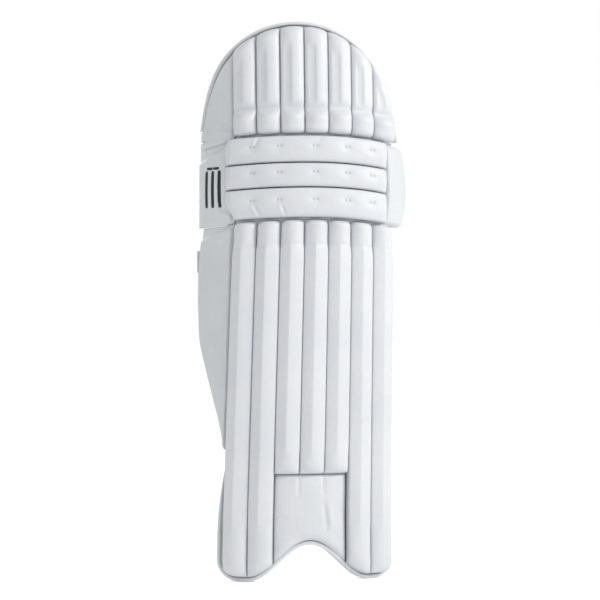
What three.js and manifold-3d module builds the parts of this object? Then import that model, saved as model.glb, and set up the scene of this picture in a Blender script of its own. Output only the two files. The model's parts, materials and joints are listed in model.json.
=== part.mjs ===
// A batting leg pad for cricket: a cane-and-foam shell worn on the front of the leg, in millimetres.
// +Z is up, the pad's face looks along -Y, and the origin is on the floor, under the centre of the pad's box.
//
// Every piece is drawn flat, as a maker cuts it: s runs across the pad, z up it, and d out through its thickness,
// with d = 0 at the stitching line of the face. bend() then wraps the flat piece round the leg.
import * as THREE from "three";
import { mergeVertices } from "three/addons/utils/BufferGeometryUtils.js";
import Module from "manifold-3d";

const wasm = await Module();
wasm.setup();

// ---- Driving dimensions -------------------------------------------------------------------------------------
const PAD_HEIGHT = 690;
const KNEE_BOTTOM = 446; // seam between the shin and the knee section
const KNEE_TOP = 549; // seam between the knee section and the top hat
const CHANNEL_COUNT = 7;
const CHANNEL_WIDTH = 28.6;
const FRONT_RADIUS = 215; // curve of the front across the shin
const CALF_SIDE_RADIUS = 75; // the outer side turns round the calf on this
const KNEE_INNER_RADIUS = 36; // the knee section's inner side
const SHIN_INNER_RADIUS = 9; // the narrow inner wing folds back at the shin's edge
const SIDE_TURN_MAX = THREE.MathUtils.degToRad(88); // no side turns further round than this
const LEAN = THREE.MathUtils.degToRad(1.2); // the shin leans to the outer side as it goes down
const FOOT_SPREAD = 0.06; // the shin is this much wider at the foot
const TOE_KICK = 10; // the instep flares forward by this much
const TOE_KICK_HEIGHT = 110;
const DROOP_INNER = 8; // the knee's seams are this much lower at the front's inner edge
const DROOP_OUTER = 4; // and at its outer edge
const DROOP_MOST = 1.5; // times that on the wings
const DROOP_LOW = 300;
const TOP_TILT = THREE.MathUtils.degToRad(4); // the top hat leans back

const BACKING = 12; // foam board behind the face
const LINING = 0.9;
const EDGE_BINDING = 4.5; // height of the binding strip round the edges
const CHANNEL_RISE = 14; // how far a channel stands out of its seams
const CHANNEL_SEAM = 3; // a channel's thickness at its seams
const CANE_WIDTH = 13;
const CANE_DEPTH = 7;
const CANE_INSET = 2; // a cane lies this far in front of the backing
const CANE_MARGIN = 14; // and stops this far short of the seam at its channel's end
const CANE_TOP_MARGIN = 18; // or this far, at the knee
const ROLL_RISE = 18; // the knee rolls
const ROLL_SEAM = 5;
const CORE_HEIGHT = 22;
const CORE_DEPTH = 13;
const CORE_INSET = 4; // a core lies this far in front of the backing
const CORE_MARGIN = 8; // and ends this far inside its roll
const WING_HALF = 6; // half the thickness of a padded wing
const INNER_WING_HALF = 3; // the inner wing is thinner
const WING_SEAM_HALF = 2; // and at the seam that it swings on
const WING_RIM_HALF = 2.5; // at the rim
const WING_MIDDLE = -3; // depth of a wing's middle, and of its hinge line
const BOLSTER_RISE = 16;
const BOLSTER_SEAM = 3;

const GAP = 0.35; // between pieces that touch
const SEAM_GAP = 1; // each side of a seam that bends
const CANE_CLEARANCE = 0.5; // round a cane or core in its pocket
const HINGE_REACH = 2.5; // a wing's hinge line lies this far outside the front
const WING_START = 3; // and the wing starts here

const FLEX_DEPTH = 36; // the pad bends at its seams about a line this far behind the front
const FLEX_LIMIT = THREE.MathUtils.degToRad(20);

const STRAP_THICKNESS = 2.4;
const PATCH_THICKNESS = 1.4; // hook or loop tape
const STRAP_STEPS = 40;
const STRAP_OFFSET = 2.6; // the strap's hinge lies this far behind the wing's edge
const TAPE_MARGIN = 3; // the tape is narrower than the strap by this much on each side
const INNER_WING_LENGTH = 52;
const INNER_WING_BOTTOM = 150;
const INNER_WING_CORNER = 16;
const CALF_WING_BOTTOM = 160;

// ---- Places that follow from them ---------------------------------------------------------------------------
const FRONT_HALF = (CHANNEL_COUNT * CHANNEL_WIDTH) / 2;
const FOOT_OUTER = FRONT_HALF + 10; // the ankle flares
const FLARE_TOP = 136;
const FOOT_CORNER = 27;
const LOBE = 28; // width of a foot lobe outside the arch
const ARCH_HALF = FRONT_HALF - LOBE; // half the cut-out over the shoe
const ARCH_HEIGHT = 44;
const INSTEP_TOP = 131;
const TOP_CENTRE = -21; // middle of the top hat's dome
const DOME_WIDTH = 131;
const DOME_BASE = KNEE_TOP + 2;
const DOME_HEIGHT = PAD_HEIGHT - DOME_BASE;
const KNEE_WING_OUTER = 58; // lengths beyond the front
const KNEE_WING_INNER = 38;
const LINING_BACK = -(BACKING + GAP + LINING);
const BINDING_FRONT = 1.5;
const FOOT_MARGIN = 3; // the padding stops this far above the binding
const shinTop = KNEE_BOTTOM - SEAM_GAP;
const FLARE_STEP = 2.6; // the binding's tail ends this far outside the front, at the top of the flare
const FLARE_TAPER = 0.5; // and narrows to this share of its height
const FLARE_FOOT = 54;
const FLARE_LEVELS = [0, 0.25, 0.5, 0.75, 1].map((share) => FLARE_FOOT + share * (FLARE_TOP - FLARE_FOOT));
const CORNER_STEPS = 4;
const ARCH_STEPS = 14;
const CANE_STEPS = 2;
const COLOURS = {
  face: 0xf2f4f6,
  lining: 0xe6e8ea,
  cane: 0xd9b77c,
  foam: 0xf0e3b4,
  strap: 0xf4f4f2,
  tape: 0xdfe1e3,
  label: 0xfafafa,
};

const { sin, cos, tan, min, max, abs, sign, sqrt, PI } = Math;
const { lerp } = THREE.MathUtils;

// ---- The bend from flat pieces to the pad's shape -----------------------------------------------------------
// A point of the cross-section, before the pad leans or spreads: round the front, then round each side.
function section(s, d, innerRadius) {
  const side = sign(s) || 1;
  const frontTurn = min(abs(s), FRONT_HALF) / FRONT_RADIUS;
  const radius = side < 0 ? CALF_SIDE_RADIUS : innerRadius;
  const beyond = max(0, abs(s) - FRONT_HALF);
  const turn = min(frontTurn + beyond / radius, max(frontTurn, SIDE_TURN_MAX));
  const straight = beyond - (turn - frontTurn) * radius;
  const x = FRONT_RADIUS * sin(frontTurn) + radius * (sin(turn) - sin(frontTurn)) + straight * cos(turn);
  const y = FRONT_RADIUS * (1 - cos(frontTurn)) + radius * (cos(frontTurn) - cos(turn)) + straight * sin(turn);
  return new THREE.Vector2(side * (x + d * sin(turn)), y - d * cos(turn));
}

// Where a point of the cross-section lies at height z: the shin leans and spreads, and the top hat tilts.
function settle(point, z) {
  const below = max(0, KNEE_BOTTOM - z);
  const spread = 1 + (FOOT_SPREAD * below) / KNEE_BOTTOM;
  const kick = max(0, 1 - z / TOE_KICK_HEIGHT) ** 2 * TOE_KICK;
  const tilt = max(0, z - KNEE_TOP) * tan(TOP_TILT);
  return new THREE.Vector3(point.x * spread - below * tan(LEAN), point.y * spread - kick + tilt, z);
}

// How far the stitching lines at the knee drop towards each side; this fades out over the shin and the top hat.
function droopAt(s, z) {
  const onShin = z < KNEE_BOTTOM;
  const fade = onShin ? (z - DROOP_LOW) / (KNEE_BOTTOM - DROOP_LOW) : (PAD_HEIGHT - z) / (PAD_HEIGHT - KNEE_TOP);
  const sideways = min((s / FRONT_HALF) ** 2, DROOP_MOST);
  return (s < 0 ? DROOP_OUTER : DROOP_INNER) * sideways * THREE.MathUtils.smoothstep(fade, 0, 1);
}

function bend(s, z, d, innerRadius) {
  return settle(section(s, d, innerRadius), z).setZ(z - droopAt(s, z));
}
const shinBend = (s, z, d) => bend(s, z, d, SHIN_INNER_RADIUS);
const upperBend = (s, z, d) => bend(s, z, d, KNEE_INNER_RADIUS);

// The lower edge of a side piece above a seam that bends: it rises towards the back, so that the seam can close.
function flexNotch(s, seam) {
  const depth = section(s, WING_MIDDLE - WING_HALF, KNEE_INNER_RADIUS).y - FLEX_DEPTH;
  return seam + SEAM_GAP + max(0, depth) * tan(FLEX_LIMIT);
}

// ---- Making pieces ------------------------------------------------------------------------------------------
const pad = new THREE.Group();

function addPiece(name, geometry, colour) {
  const material = new THREE.MeshStandardMaterial({ color: colour, roughness: 0.6, metalness: 0 });
  const mesh = new THREE.Mesh(geometry, material);
  mesh.name = name;
  pad.add(mesh);
  return mesh;
}

function closed(geometry) {
  geometry.deleteAttribute("normal");
  geometry.deleteAttribute("uv");
  return mergeVertices(geometry, 1e-3);
}

function moveEach(geometry, place) {
  const position = geometry.getAttribute("position");
  for (let i = 0; i < position.count; i++) {
    const moved = place(position.getX(i), position.getY(i), position.getZ(i));
    position.setXYZ(i, moved.x, moved.y, moved.z);
  }
  return closed(geometry);
}

function solid(geometry) {
  const vertProperties = geometry.getAttribute("position").array;
  const triVerts = new Uint32Array(geometry.index.array);
  return new wasm.Manifold(new wasm.Mesh({ numProp: 3, vertProperties, triVerts }));
}

function cut(geometry, cutter) {
  const made = solid(geometry).subtract(solid(cutter)).getMesh();
  return new THREE.BufferGeometry()
    .setAttribute("position", new THREE.BufferAttribute(new Float32Array(made.vertProperties), 3))
    .setIndex(new THREE.BufferAttribute(new Uint32Array(made.triVerts), 1));
}

// A padded block: shape(u, v, w) gives each corner from its share of the way across, up and out.
function block(across, up, shape) {
  const box = new THREE.BoxGeometry(1, 1, 1, across.length - 1, up.length - 1, 1);
  const station = (list, share) => list[Math.round((share + 0.5) * (list.length - 1))];
  return moveEach(box, (x, y, z) => shape(station(across, x), station(up, y), z + 0.5));
}

const evenly = (steps) => Array.from({ length: steps + 1 }, (_, i) => i / steps);

// A sheet from depth low to high that reaches from each point of one edge up to the matching point of another.
function sheet(lowerEdge, upperEdge, rows, low, high, bend) {
  return block(evenly(lowerEdge.length - 1), rows, (u, v, w) => {
    const i = Math.round(u * (lowerEdge.length - 1));
    const flat = lowerEdge[i].clone().lerp(upperEdge[i], v);
    return bend(flat.x, flat.y, lerp(low, high, w));
  });
}

// A rod with its length along z or s, flattened to the given half width and half depth.
function rod(lengthwise, halfWidth, halfDepth, sides, steps) {
  const bar = new THREE.CylinderGeometry(1, 1, 1, sides, steps);
  return moveEach(bar, (x, y, z) => lengthwise(x * halfWidth, y + 0.5, z * halfDepth));
}

const roundness = (share) => max(0, sin(PI * share)) ** 0.6;
const ENDED = [0, 0.04, 0.25, 0.5, 0.75, 0.96, 1]; // stations with a short step at each end
const FOOT_ENDED = [0, 0.03, 0.07, 0.12, 0.17, 0.22, 0.5, 0.97, 1]; // and close ones where the foot kicks forward
const ACROSS = [0, 0.12, 0.32, 0.5, 0.68, 0.88, 1];
const endFullness = (share) => (share === 0 || share === 1 ? 0.78 : 1);

// ---- Edges --------------------------------------------------------------------------------------------------
const archAt = (s) => (abs(s) < ARCH_HALF ? (ARCH_HEIGHT / 2) * (1 + cos((PI * s) / ARCH_HALF)) : 0);

// The foot's edge at s, drawn in by inset.
function soleAt(s, inset) {
  const past = max(0, abs(s) - (FOOT_OUTER - FOOT_CORNER));
  return past > 0 ? FOOT_CORNER - sqrt((FOOT_CORNER - inset) ** 2 - past * past) : archAt(s) + inset;
}

// Half the shin's width at height z, down its ankle flare, drawn in by inset.
function halfWidthAt(z, inset) {
  if (z > FLARE_TOP) return FRONT_HALF;
  const rise = max(0, (z - FLARE_FOOT) / (FLARE_TOP - FLARE_FOOT));
  return lerp(FOOT_OUTER - inset, FRONT_HALF + FLARE_STEP - inset * FLARE_TAPER, rise * rise);
}

// The foot's edge under both lobes and over the arch between them.
function soleEdge(inset) {
  const corner = (side) => new THREE.EllipseCurve(
    side * (FOOT_OUTER - FOOT_CORNER), FOOT_CORNER, FOOT_CORNER - inset, FOOT_CORNER - inset,
    side < 0 ? PI : 1.5 * PI, side < 0 ? 1.5 * PI : 2 * PI,
  ).getPoints(CORNER_STEPS);
  const arch = evenly(ARCH_STEPS).map((share) => {
    const s = lerp(-ARCH_HALF, ARCH_HALF, share);
    const slope = ((-ARCH_HEIGHT * PI) / (2 * ARCH_HALF)) * sin((PI * s) / ARCH_HALF);
    const length = sqrt(1 + slope * slope);
    return new THREE.Vector2(s - (inset * slope) / length, archAt(s) + inset / length);
  });
  return [...corner(-1), ...arch, ...corner(1)];
}

// The same with the ankle flares at both ends.
function footEdge(inset) {
  const flare = (side) => FLARE_LEVELS.map((z) => new THREE.Vector2(side * halfWidthAt(z, inset), z));
  return [...flare(-1).reverse(), ...soleEdge(inset), ...flare(1)];
}

// A sheet over the whole shin, drawn in from the foot's edge by inset.
function shinSheet(inset, low, high) {
  const sole = soleEdge(inset);
  const levels = [FOOT_CORNER, ...FLARE_LEVELS, shinTop];
  const rows = levels.map((z) => (z - FOOT_CORNER) / (shinTop - FOOT_CORNER));
  return block(evenly(sole.length - 1), rows, (u, v, w) => {
    const foot = sole[Math.round(u * (sole.length - 1))];
    const z = lerp(foot.y, shinTop, v);
    const s = (foot.x * halfWidthAt(z, inset)) / halfWidthAt(FOOT_CORNER, inset);
    return shinBend(s, z, lerp(low, high, w));
  });
}

// Height of the top hat's dome at s, drawn in by inset.
function domeAt(s, inset) {
  const share = min(1, abs(s - TOP_CENTRE) / (DOME_WIDTH - inset));
  return DOME_BASE + (DOME_HEIGHT - inset) * sqrt(1 - share * share);
}

// The dome's edge from the outer side over to the inner side, between two angles above the seam.
function domeEdge(inset, outerAngle, innerAngle, steps) {
  return evenly(steps).map((share) => {
    const angle = lerp(PI - outerAngle, innerAngle, share);
    return new THREE.Vector2(
      TOP_CENTRE + (DOME_WIDTH - inset) * cos(angle), DOME_BASE + (DOME_HEIGHT - inset) * sin(angle));
  });
}

// ---- Shin ---------------------------------------------------------------------------------------------------
addPiece("shin_backing", shinSheet(EDGE_BINDING + 2 * GAP, -BACKING, -GAP), COLOURS.foam);
addPiece("shin_lining", shinSheet(EDGE_BINDING + 2, LINING_BACK, -BACKING - GAP), COLOURS.lining);
addPiece("foot_binding",
  sheet(footEdge(0), footEdge(EDGE_BINDING), [0, 1], LINING_BACK, BINDING_FRONT, shinBend), COLOURS.face);

const channelEdge = (n) => -FRONT_HALF + n * CHANNEL_WIDTH;

// A sewn channel between two seams, with a pocket for its cane that is open at the end named by openTop.
function channel({ left, right, lowAt, highAt, rows, bend, caneLow, caneHigh, openTop }) {
  const shape = (u, v, w) => {
    const s = lerp(left + GAP / 2, right - GAP / 2, u);
    const full = CHANNEL_SEAM + CHANNEL_RISE * roundness(u) * endFullness(v);
    return bend(s, lerp(lowAt(s), highAt(s), v), lerp(0, full, w));
  };
  const padding = block(ACROSS, rows, shape);
  if (caneHigh === undefined) return { padding };
  const middle = (left + right) / 2;
  const depth = CANE_DEPTH / 2 + CANE_INSET;
  const along = (low, high) => (x, y, z) => bend(middle + x, lerp(low, high, y), depth + z);
  const cane = rod(along(caneLow, caneHigh), CANE_WIDTH / 2, CANE_DEPTH / 2, 8, CANE_STEPS);
  const pocketLow = openTop ? caneLow - CANE_CLEARANCE : lowAt(middle) - SEAM_GAP;
  const pocketHigh = openTop ? highAt(middle) + SEAM_GAP : caneHigh + CANE_CLEARANCE;
  const pocket = rod(along(pocketLow, pocketHigh),
    CANE_WIDTH / 2 + CANE_CLEARANCE, CANE_DEPTH / 2 + CANE_CLEARANCE, 8, CANE_STEPS);
  return { padding: cut(padding, pocket), cane };
}

const CANE_FOOT = TOE_KICK_HEIGHT; // the foot kicks forward below the ends of the canes
const CENTRE_CHANNELS = [3, 4, 5]; // these end above the instep
for (let n = 1; n <= CHANNEL_COUNT; n++) {
  const short = CENTRE_CHANNELS.includes(n);
  const lowAt = (s) => (short ? INSTEP_TOP + GAP : soleAt(s, EDGE_BINDING + FOOT_MARGIN));
  const highAt = () => shinTop;
  const caneLow = short ? INSTEP_TOP + CANE_MARGIN : CANE_FOOT;
  const { padding, cane } = channel({
    left: channelEdge(n - 1), right: channelEdge(n), lowAt, highAt, rows: short ? ENDED : FOOT_ENDED,
    bend: shinBend, caneLow, caneHigh: shinTop - CANE_TOP_MARGIN, openTop: true,
  });
  addPiece(`shin_channel_${n}`, padding, COLOURS.face);
  addPiece(`shin_cane_${n}`, cane, COLOURS.cane);
}

const INSTEP_SEAM = 4;
const INSTEP_RISE = 5;
const INSTEP_ACROSS = [0, 0.06, 0.16, 0.27, 0.38, 0.5, 0.62, 0.73, 0.84, 0.94, 1];
const INSTEP_UP = [0, 0.08, 0.25, 0.42, 0.6, 0.78, 0.95, 1];
const instepLeft = channelEdge(CENTRE_CHANNELS[0] - 1) + GAP;
const instepRight = channelEdge(CENTRE_CHANNELS.at(-1)) - GAP;
addPiece("instep_pad", block(INSTEP_ACROSS, INSTEP_UP, (u, v, w) => {
  const s = lerp(instepLeft, instepRight, u);
  const full = INSTEP_SEAM + INSTEP_RISE * roundness(u) * endFullness(v);
  return shinBend(s, lerp(soleAt(s, EDGE_BINDING + FOOT_MARGIN), INSTEP_TOP, v), lerp(0, full, w));
}), COLOURS.face);

const BOLSTER_LOW = 215;
const BOLSTER_HIGH = 425;
const BOLSTER_NEAR = 20; // from the pad's middle line
const BOLSTER_FAR = 62;
for (const [name, left, right] of [
  ["shin_bolster_outer", -BOLSTER_FAR, -BOLSTER_NEAR],
  ["shin_bolster_inner", BOLSTER_NEAR, BOLSTER_FAR],
]) {
  addPiece(name, block(ACROSS, ENDED, (u, v, w) => {
    const rise = BOLSTER_SEAM + (BOLSTER_RISE - BOLSTER_SEAM) * roundness(u) * endFullness(v);
    return shinBend(lerp(left, right, u), lerp(BOLSTER_LOW, BOLSTER_HIGH, v), LINING_BACK - GAP - rise * (1 - w));
  }), COLOURS.lining);
}

// ---- Wings of the shin, each on a hinge line along its seam --------------------------------------------------
const wingSeam = FRONT_HALF + WING_START;
const wingLow = WING_MIDDLE - WING_HALF;
const wingTop = KNEE_BOTTOM - 3; // clear of the knee section when it bends

// A padded wing, thin at the seam and the rim. reachAt gives how far round it reaches at each height.
function wing(side, across, rows, reachAt, lowAt, highAt, bend, thickHalf = WING_HALF) {
  return block(side > 0 ? across : across.map((u) => 1 - u).reverse(), rows, (u, v, w) => {
    const out = side > 0 ? u : 1 - u;
    const half = out === 0 ? WING_SEAM_HALF : out === 1 ? WING_RIM_HALF : thickHalf;
    const nominal = lerp(lowAt(0), highAt(0), v);
    const s = side * lerp(wingSeam, reachAt(nominal), out);
    return bend(s, lerp(lowAt(s), highAt(s), v), WING_MIDDLE + lerp(-half, half, w));
  });
}

const calfWingEdge = new THREE.SplineCurve([
  new THREE.Vector2(CALF_WING_BOTTOM, 5),
  new THREE.Vector2(200, 14),
  new THREE.Vector2(255, 31),
  new THREE.Vector2(297, 46),
  new THREE.Vector2(345, 53),
  new THREE.Vector2(400, 54),
  new THREE.Vector2(wingTop, 49),
]);
const calfWingRows = evenly(12);
const calfReach = (z) => {
  const share = (z - CALF_WING_BOTTOM) / (wingTop - CALF_WING_BOTTOM);
  const rows = calfWingEdge.getPoints(120);
  return FRONT_HALF + rows.reduce((best, row) => (abs(row.x - z) < abs(best.x - z) ? row : best), rows[0]).y;
};
const CALF_WING_ACROSS = [0, 0.14, 0.32, 0.5, 0.68, 0.86, 0.95, 1];
addPiece("calf_wing",
  wing(-1, CALF_WING_ACROSS, calfWingRows, calfReach, () => CALF_WING_BOTTOM, () => wingTop, shinBend), COLOURS.face);

const innerReach = (z) => {
  const fromEnd = max(0, 1 - min(z - INNER_WING_BOTTOM, wingTop - z) / INNER_WING_CORNER);
  return FRONT_HALF + INNER_WING_LENGTH - INNER_WING_CORNER * (1 - sqrt(1 - fromEnd * fromEnd));
};
const INNER_WING_ACROSS = [0, 0.07, 0.15, 0.24, 0.35, 0.65, 0.93, 1];
const INNER_WING_ROWS = [0, 0.015, 0.04, 0.3, 0.7, 0.96, 0.985, 1];
addPiece("inner_wing",
  wing(1, INNER_WING_ACROSS, INNER_WING_ROWS, innerReach, () => INNER_WING_BOTTOM, () => wingTop, shinBend,
    INNER_WING_HALF), COLOURS.face);

// The side tab is a folded strip of ribbon, sewn into the calf wing's edge and pointing outwards.
const TAB_HEIGHT = 27;
const TAB_REACH = 7;
const TAB_THICKNESS = 1.2;
const TAB_MIDDLE = 398; // its height on the pad
const TAB_TURN = THREE.MathUtils.degToRad(-20);
const TAB_CLEARANCE = 0.8; // from the wing's edge
const TAB_SETBACK = 3;
const tabRoot = shinBend(-calfReach(TAB_MIDDLE) - GAP, TAB_MIDDLE, WING_MIDDLE);
const tabBox = closed(new THREE.BoxGeometry(TAB_REACH, TAB_THICKNESS, TAB_HEIGHT));
const tab = addPiece("side_tab", tabBox, COLOURS.label);
tab.rotation.z = TAB_TURN;
tab.position.set(tabRoot.x - TAB_REACH / 2 - TAB_CLEARANCE, tabRoot.y + TAB_SETBACK, tabRoot.z);

// ---- Knee section -------------------------------------------------------------------------------------------
const kneeLow = KNEE_BOTTOM + SEAM_GAP;
const kneeHigh = KNEE_TOP - SEAM_GAP;
const level = (from, to, z) => evenly(14).map((share) => new THREE.Vector2(lerp(from, to, share), z));
function addKneeSheet(name, half, low, high, colour) {
  const edges = [level(-half, half, kneeLow), level(-half, half, kneeHigh)];
  addPiece(name, sheet(...edges, [0, 1], low, high, upperBend), colour);
}
addKneeSheet("knee_backing", FRONT_HALF, -BACKING, -GAP, COLOURS.foam);
addKneeSheet("knee_lining", FRONT_HALF - 2, LINING_BACK, -BACKING - GAP, COLOURS.lining);

const ROLL_EDGES = [0, 0.37, 0.67, 1]; // shares of the knee's height at which the rolls meet
const ROLL_NAMES = ["lower", "middle", "upper"];
const rollOuterEnd = FRONT_HALF - 2;
const rollInnerEnd = FRONT_HALF - 11; // the inner side panel laps over the front's edge here
const ROLL_ALONG = [0, 0.03, ...evenly(12).slice(1, -1), 0.97, 1];
ROLL_NAMES.forEach((name, i) => {
  const low = lerp(kneeLow, kneeHigh, ROLL_EDGES[i]) + GAP / 2;
  const high = lerp(kneeLow, kneeHigh, ROLL_EDGES[i + 1]) - GAP / 2;
  const depth = CORE_DEPTH / 2 + CORE_INSET;
  const cover = block(ROLL_ALONG, [0, 0.12, 0.35, 0.65, 0.88, 1], (u, v, w) => {
    const full = ROLL_SEAM + ROLL_RISE * roundness(v) * (u === 0 || u === 1 ? 0.85 : 1);
    return upperBend(lerp(-rollOuterEnd, rollInnerEnd, u), lerp(low, high, v), lerp(0, full, w));
  });
  const along = (left, right) => (x, y, z) => upperBend(lerp(left, right, y), (low + high) / 2 - x, depth + z);
  const halfHeight = min(CORE_HEIGHT, high - low - CORE_MARGIN) / 2;
  const [coreLow, coreHigh] = [CORE_MARGIN - rollOuterEnd, rollInnerEnd - CORE_MARGIN];
  const core = rod(along(coreLow, coreHigh), halfHeight, CORE_DEPTH / 2, 10, 10);
  const pocket = rod(along(coreLow - CANE_CLEARANCE, rollInnerEnd + CORE_MARGIN),
    halfHeight + CANE_CLEARANCE, CORE_DEPTH / 2 + CANE_CLEARANCE, 10, 10);
  addPiece(`knee_roll_${name}`, cut(cover, pocket), COLOURS.face);
  addPiece(`knee_roll_core_${name}`, core, COLOURS.foam);
});

const KNEE_WING_ACROSS = [0, 0.12, 0.3, 0.48, 0.64, 0.8, 0.95, 1];
const kneeWings = [["knee_wing_outer", -1, KNEE_WING_OUTER], ["knee_wing_inner", 1, KNEE_WING_INNER]];
for (const [name, side, length] of kneeWings) {
  addPiece(name, wing(side, KNEE_WING_ACROSS, [0, 0.5, 1], () => FRONT_HALF + length,
    (s) => flexNotch(s, KNEE_BOTTOM), () => kneeHigh, upperBend), COLOURS.face);
}

const CUP_HALF = 58;
const CUP_MARGIN = 16; // above and below it in the knee section
addPiece("knee_cup", block([0, 0.05, 0.25, 0.5, 0.75, 0.95, 1], [0, 0.1, 0.35, 0.65, 0.9, 1], (u, v, w) => {
  const rise = BOLSTER_SEAM + (BOLSTER_RISE - BOLSTER_SEAM) * roundness(u) * roundness(v);
  const z = lerp(kneeLow + CUP_MARGIN, kneeHigh - CUP_MARGIN, v);
  return upperBend(lerp(-CUP_HALF, CUP_HALF, u), z, LINING_BACK - GAP - rise * (1 - w));
}), COLOURS.lining);

// ---- Top hat ------------------------------------------------------------------------------------------------
const topLow = KNEE_TOP + SEAM_GAP;
const TOP_BINDING_FRONT = 4;
const DOME_INNER_ANGLE = 0.025; // radians up the dome at which its edge is sewn into the seam, on the inner side
const DOME_OUTER_ANGLE = 0.13; // and on the outer side
const topHatEnd = TOP_CENTRE + DOME_WIDTH; // where the dome meets the seam on the inner side
const BINDING_ROOM = 5; // between the last channel and the binding
const PADDING_INSET = 2; // between the channels' ends and the binding
const TOP_WING_INSET = 4;
function addTopSheet(name, inset, low, high, colour) {
  const outerAngle = Math.acos((FRONT_HALF + TOP_CENTRE) / (DOME_WIDTH - inset));
  const dome = domeEdge(inset, outerAngle, DOME_INNER_ANGLE, 20);
  const foot = dome.map(({ x }) => new THREE.Vector2(x, topLow));
  addPiece(name, sheet(foot, dome, [0, 1], low, high, upperBend), colour);
}
addTopSheet("top_hat_backing", EDGE_BINDING + 2 * GAP, -BACKING, -GAP, COLOURS.foam);
addTopSheet("top_hat_lining", EDGE_BINDING + 2, LINING_BACK, -BACKING - GAP, COLOURS.lining);

const domeLine = (inset) => domeEdge(inset, DOME_OUTER_ANGLE, DOME_INNER_ANGLE, 28);
addPiece("top_binding",
  sheet(domeLine(EDGE_BINDING), domeLine(0), [0, 1], LINING_BACK, TOP_BINDING_FRONT, upperBend), COLOURS.face);

const TOP_CREASE = 582; // the canes of the top hat stop here, so that the lower part stays soft
for (let n = 1; n <= CHANNEL_COUNT; n++) {
  const left = channelEdge(n - 1);
  const right = n === CHANNEL_COUNT ? topHatEnd - EDGE_BINDING - BINDING_ROOM : channelEdge(n);
  const highAt = (s) => domeAt(s, EDGE_BINDING + PADDING_INSET);
  const middle = (left + right) / 2;
  const caneHigh = n === CHANNEL_COUNT ? undefined : min(highAt(left), highAt(right), highAt(middle)) - CANE_MARGIN;
  const { padding, cane } = channel({
    left, right, lowAt: () => topLow, highAt, rows: ENDED, bend: upperBend, caneLow: TOP_CREASE, caneHigh,
    openTop: false,
  });
  addPiece(`top_channel_${n}`, padding, COLOURS.face);
  if (cane) addPiece(`top_cane_${n}`, cane, COLOURS.cane);
}

const topWingEnd = DOME_WIDTH - TOP_CENTRE - EDGE_BINDING - TOP_WING_INSET;
const TOP_WING_ACROSS = [0, 0.2, 0.5, 0.85, 1];
addPiece("top_hat_wing", wing(-1, TOP_WING_ACROSS, [0, 0.5, 1], () => topWingEnd,
  (s) => flexNotch(s, KNEE_TOP), (s) => domeAt(s, EDGE_BINDING + GAP + 1), upperBend), COLOURS.face);

// ---- Straps -------------------------------------------------------------------------------------------------
// A strap is a band on edge: its route is a curve in the cross-section, from its hinge to its fastening.
function strapBand(route, low, high, bodySettle) {
  const curve = new THREE.SplineCurve(route);
  const middle = curve.getSpacedPoints(STRAP_STEPS);
  const side = (offset) => middle.map((point, i) => {
    const along = middle[min(i + 1, STRAP_STEPS)].clone().sub(middle[max(i - 1, 0)]).normalize();
    return new THREE.Vector2(point.x - along.y * offset, point.y + along.x * offset);
  });
  const outline = new THREE.Shape([...side(-STRAP_THICKNESS / 2), ...side(STRAP_THICKNESS / 2).reverse()]);
  const band = new THREE.ExtrudeGeometry(outline, { depth: high - low, bevelEnabled: false });
  return moveEach(band, (x, y, z) => bodySettle(new THREE.Vector2(x, y), low + z));
}

// Tape lies on the inside of a wing at the depths that leave the strap its room.
const loopDepth = wingLow - GAP;
const hookDepth = loopDepth - PATCH_THICKNESS - GAP;
const strapDepth = hookDepth - PATCH_THICKNESS - GAP - STRAP_THICKNESS / 2;
const onLining = LINING_BACK - wingLow; // the same stack, moved back from a wing's face to the lining's

function addTape(name, left, right, low, high, depth, bend) {
  addPiece(name, block(evenly(6), [0, 1], (u, v, w) =>
    bend(lerp(left, right, u), lerp(low, high, v), depth - PATCH_THICKNESS * (1 - w))), COLOURS.tape);
}

// From a strap's landing place, the points that it passes on its way round from behind.
const SWEEP_TO_WING = [[16, 46], [0, 21]];
const SWEEP_TO_LINING = [[-3, 69], [-9, 42], [-10, 22], [-6, 6]];
const onWings = { bend: upperBend, tip: FRONT_HALF + 26, tail: FRONT_HALF + 50, depth: 0, sweep: SWEEP_TO_WING };
const STRAPS = {
  knee: { ...onWings, low: 474, high: 524, back: 150, innerRadius: KNEE_INNER_RADIUS, innerEnd: KNEE_WING_INNER },
  calf: {
    ...onWings, low: 322, high: 368, back: 150, bend: shinBend,
    innerRadius: SHIN_INNER_RADIUS, innerEnd: INNER_WING_LENGTH,
  },
  ankle: {
    low: 168, high: 206, back: 138, bend: shinBend,
    innerRadius: SHIN_INNER_RADIUS, innerEnd: INNER_WING_LENGTH,
    tip: FRONT_HALF - 40, tail: FRONT_HALF - 16, depth: onLining, sweep: SWEEP_TO_LINING,
  },
};
const strapAnchor = ({ innerEnd, innerRadius }) =>
  section(FRONT_HALF + innerEnd + STRAP_OFFSET, WING_MIDDLE, innerRadius);

// Points behind the leg: shares of the strap's distance from the pad's middle, and distances from its furthest back.
const BEHIND_LEG = [[-0.07, -34], [-0.34, -12], [-0.75, -1], [-1.22, -1], [-1.68, -12]];

// The cross-section of a strap's way: from the inner side, round behind the leg, to its landing on the outer side.
function strapRoute({ tip, tail, depth, sweep, back, innerRadius, ...strap }) {
  const start = strapAnchor({ innerRadius, ...strap });
  const leaving = new THREE.Vector2(start.x + 1, start.y + 8);
  const behind = BEHIND_LEG.map(([across, from]) => new THREE.Vector2(start.x * (1 + across), back + from));
  const landingAt = [tail + 4, tail - 3, (tip + tail) / 2, tip];
  const landing = landingAt.map((s) => section(-s, strapDepth + depth, innerRadius));
  const sweeping = sweep.map(([x, y]) => new THREE.Vector2(landing[0].x + x, landing[0].y + y));
  return [start, leaving, ...behind, ...sweeping, ...landing];
}

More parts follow.
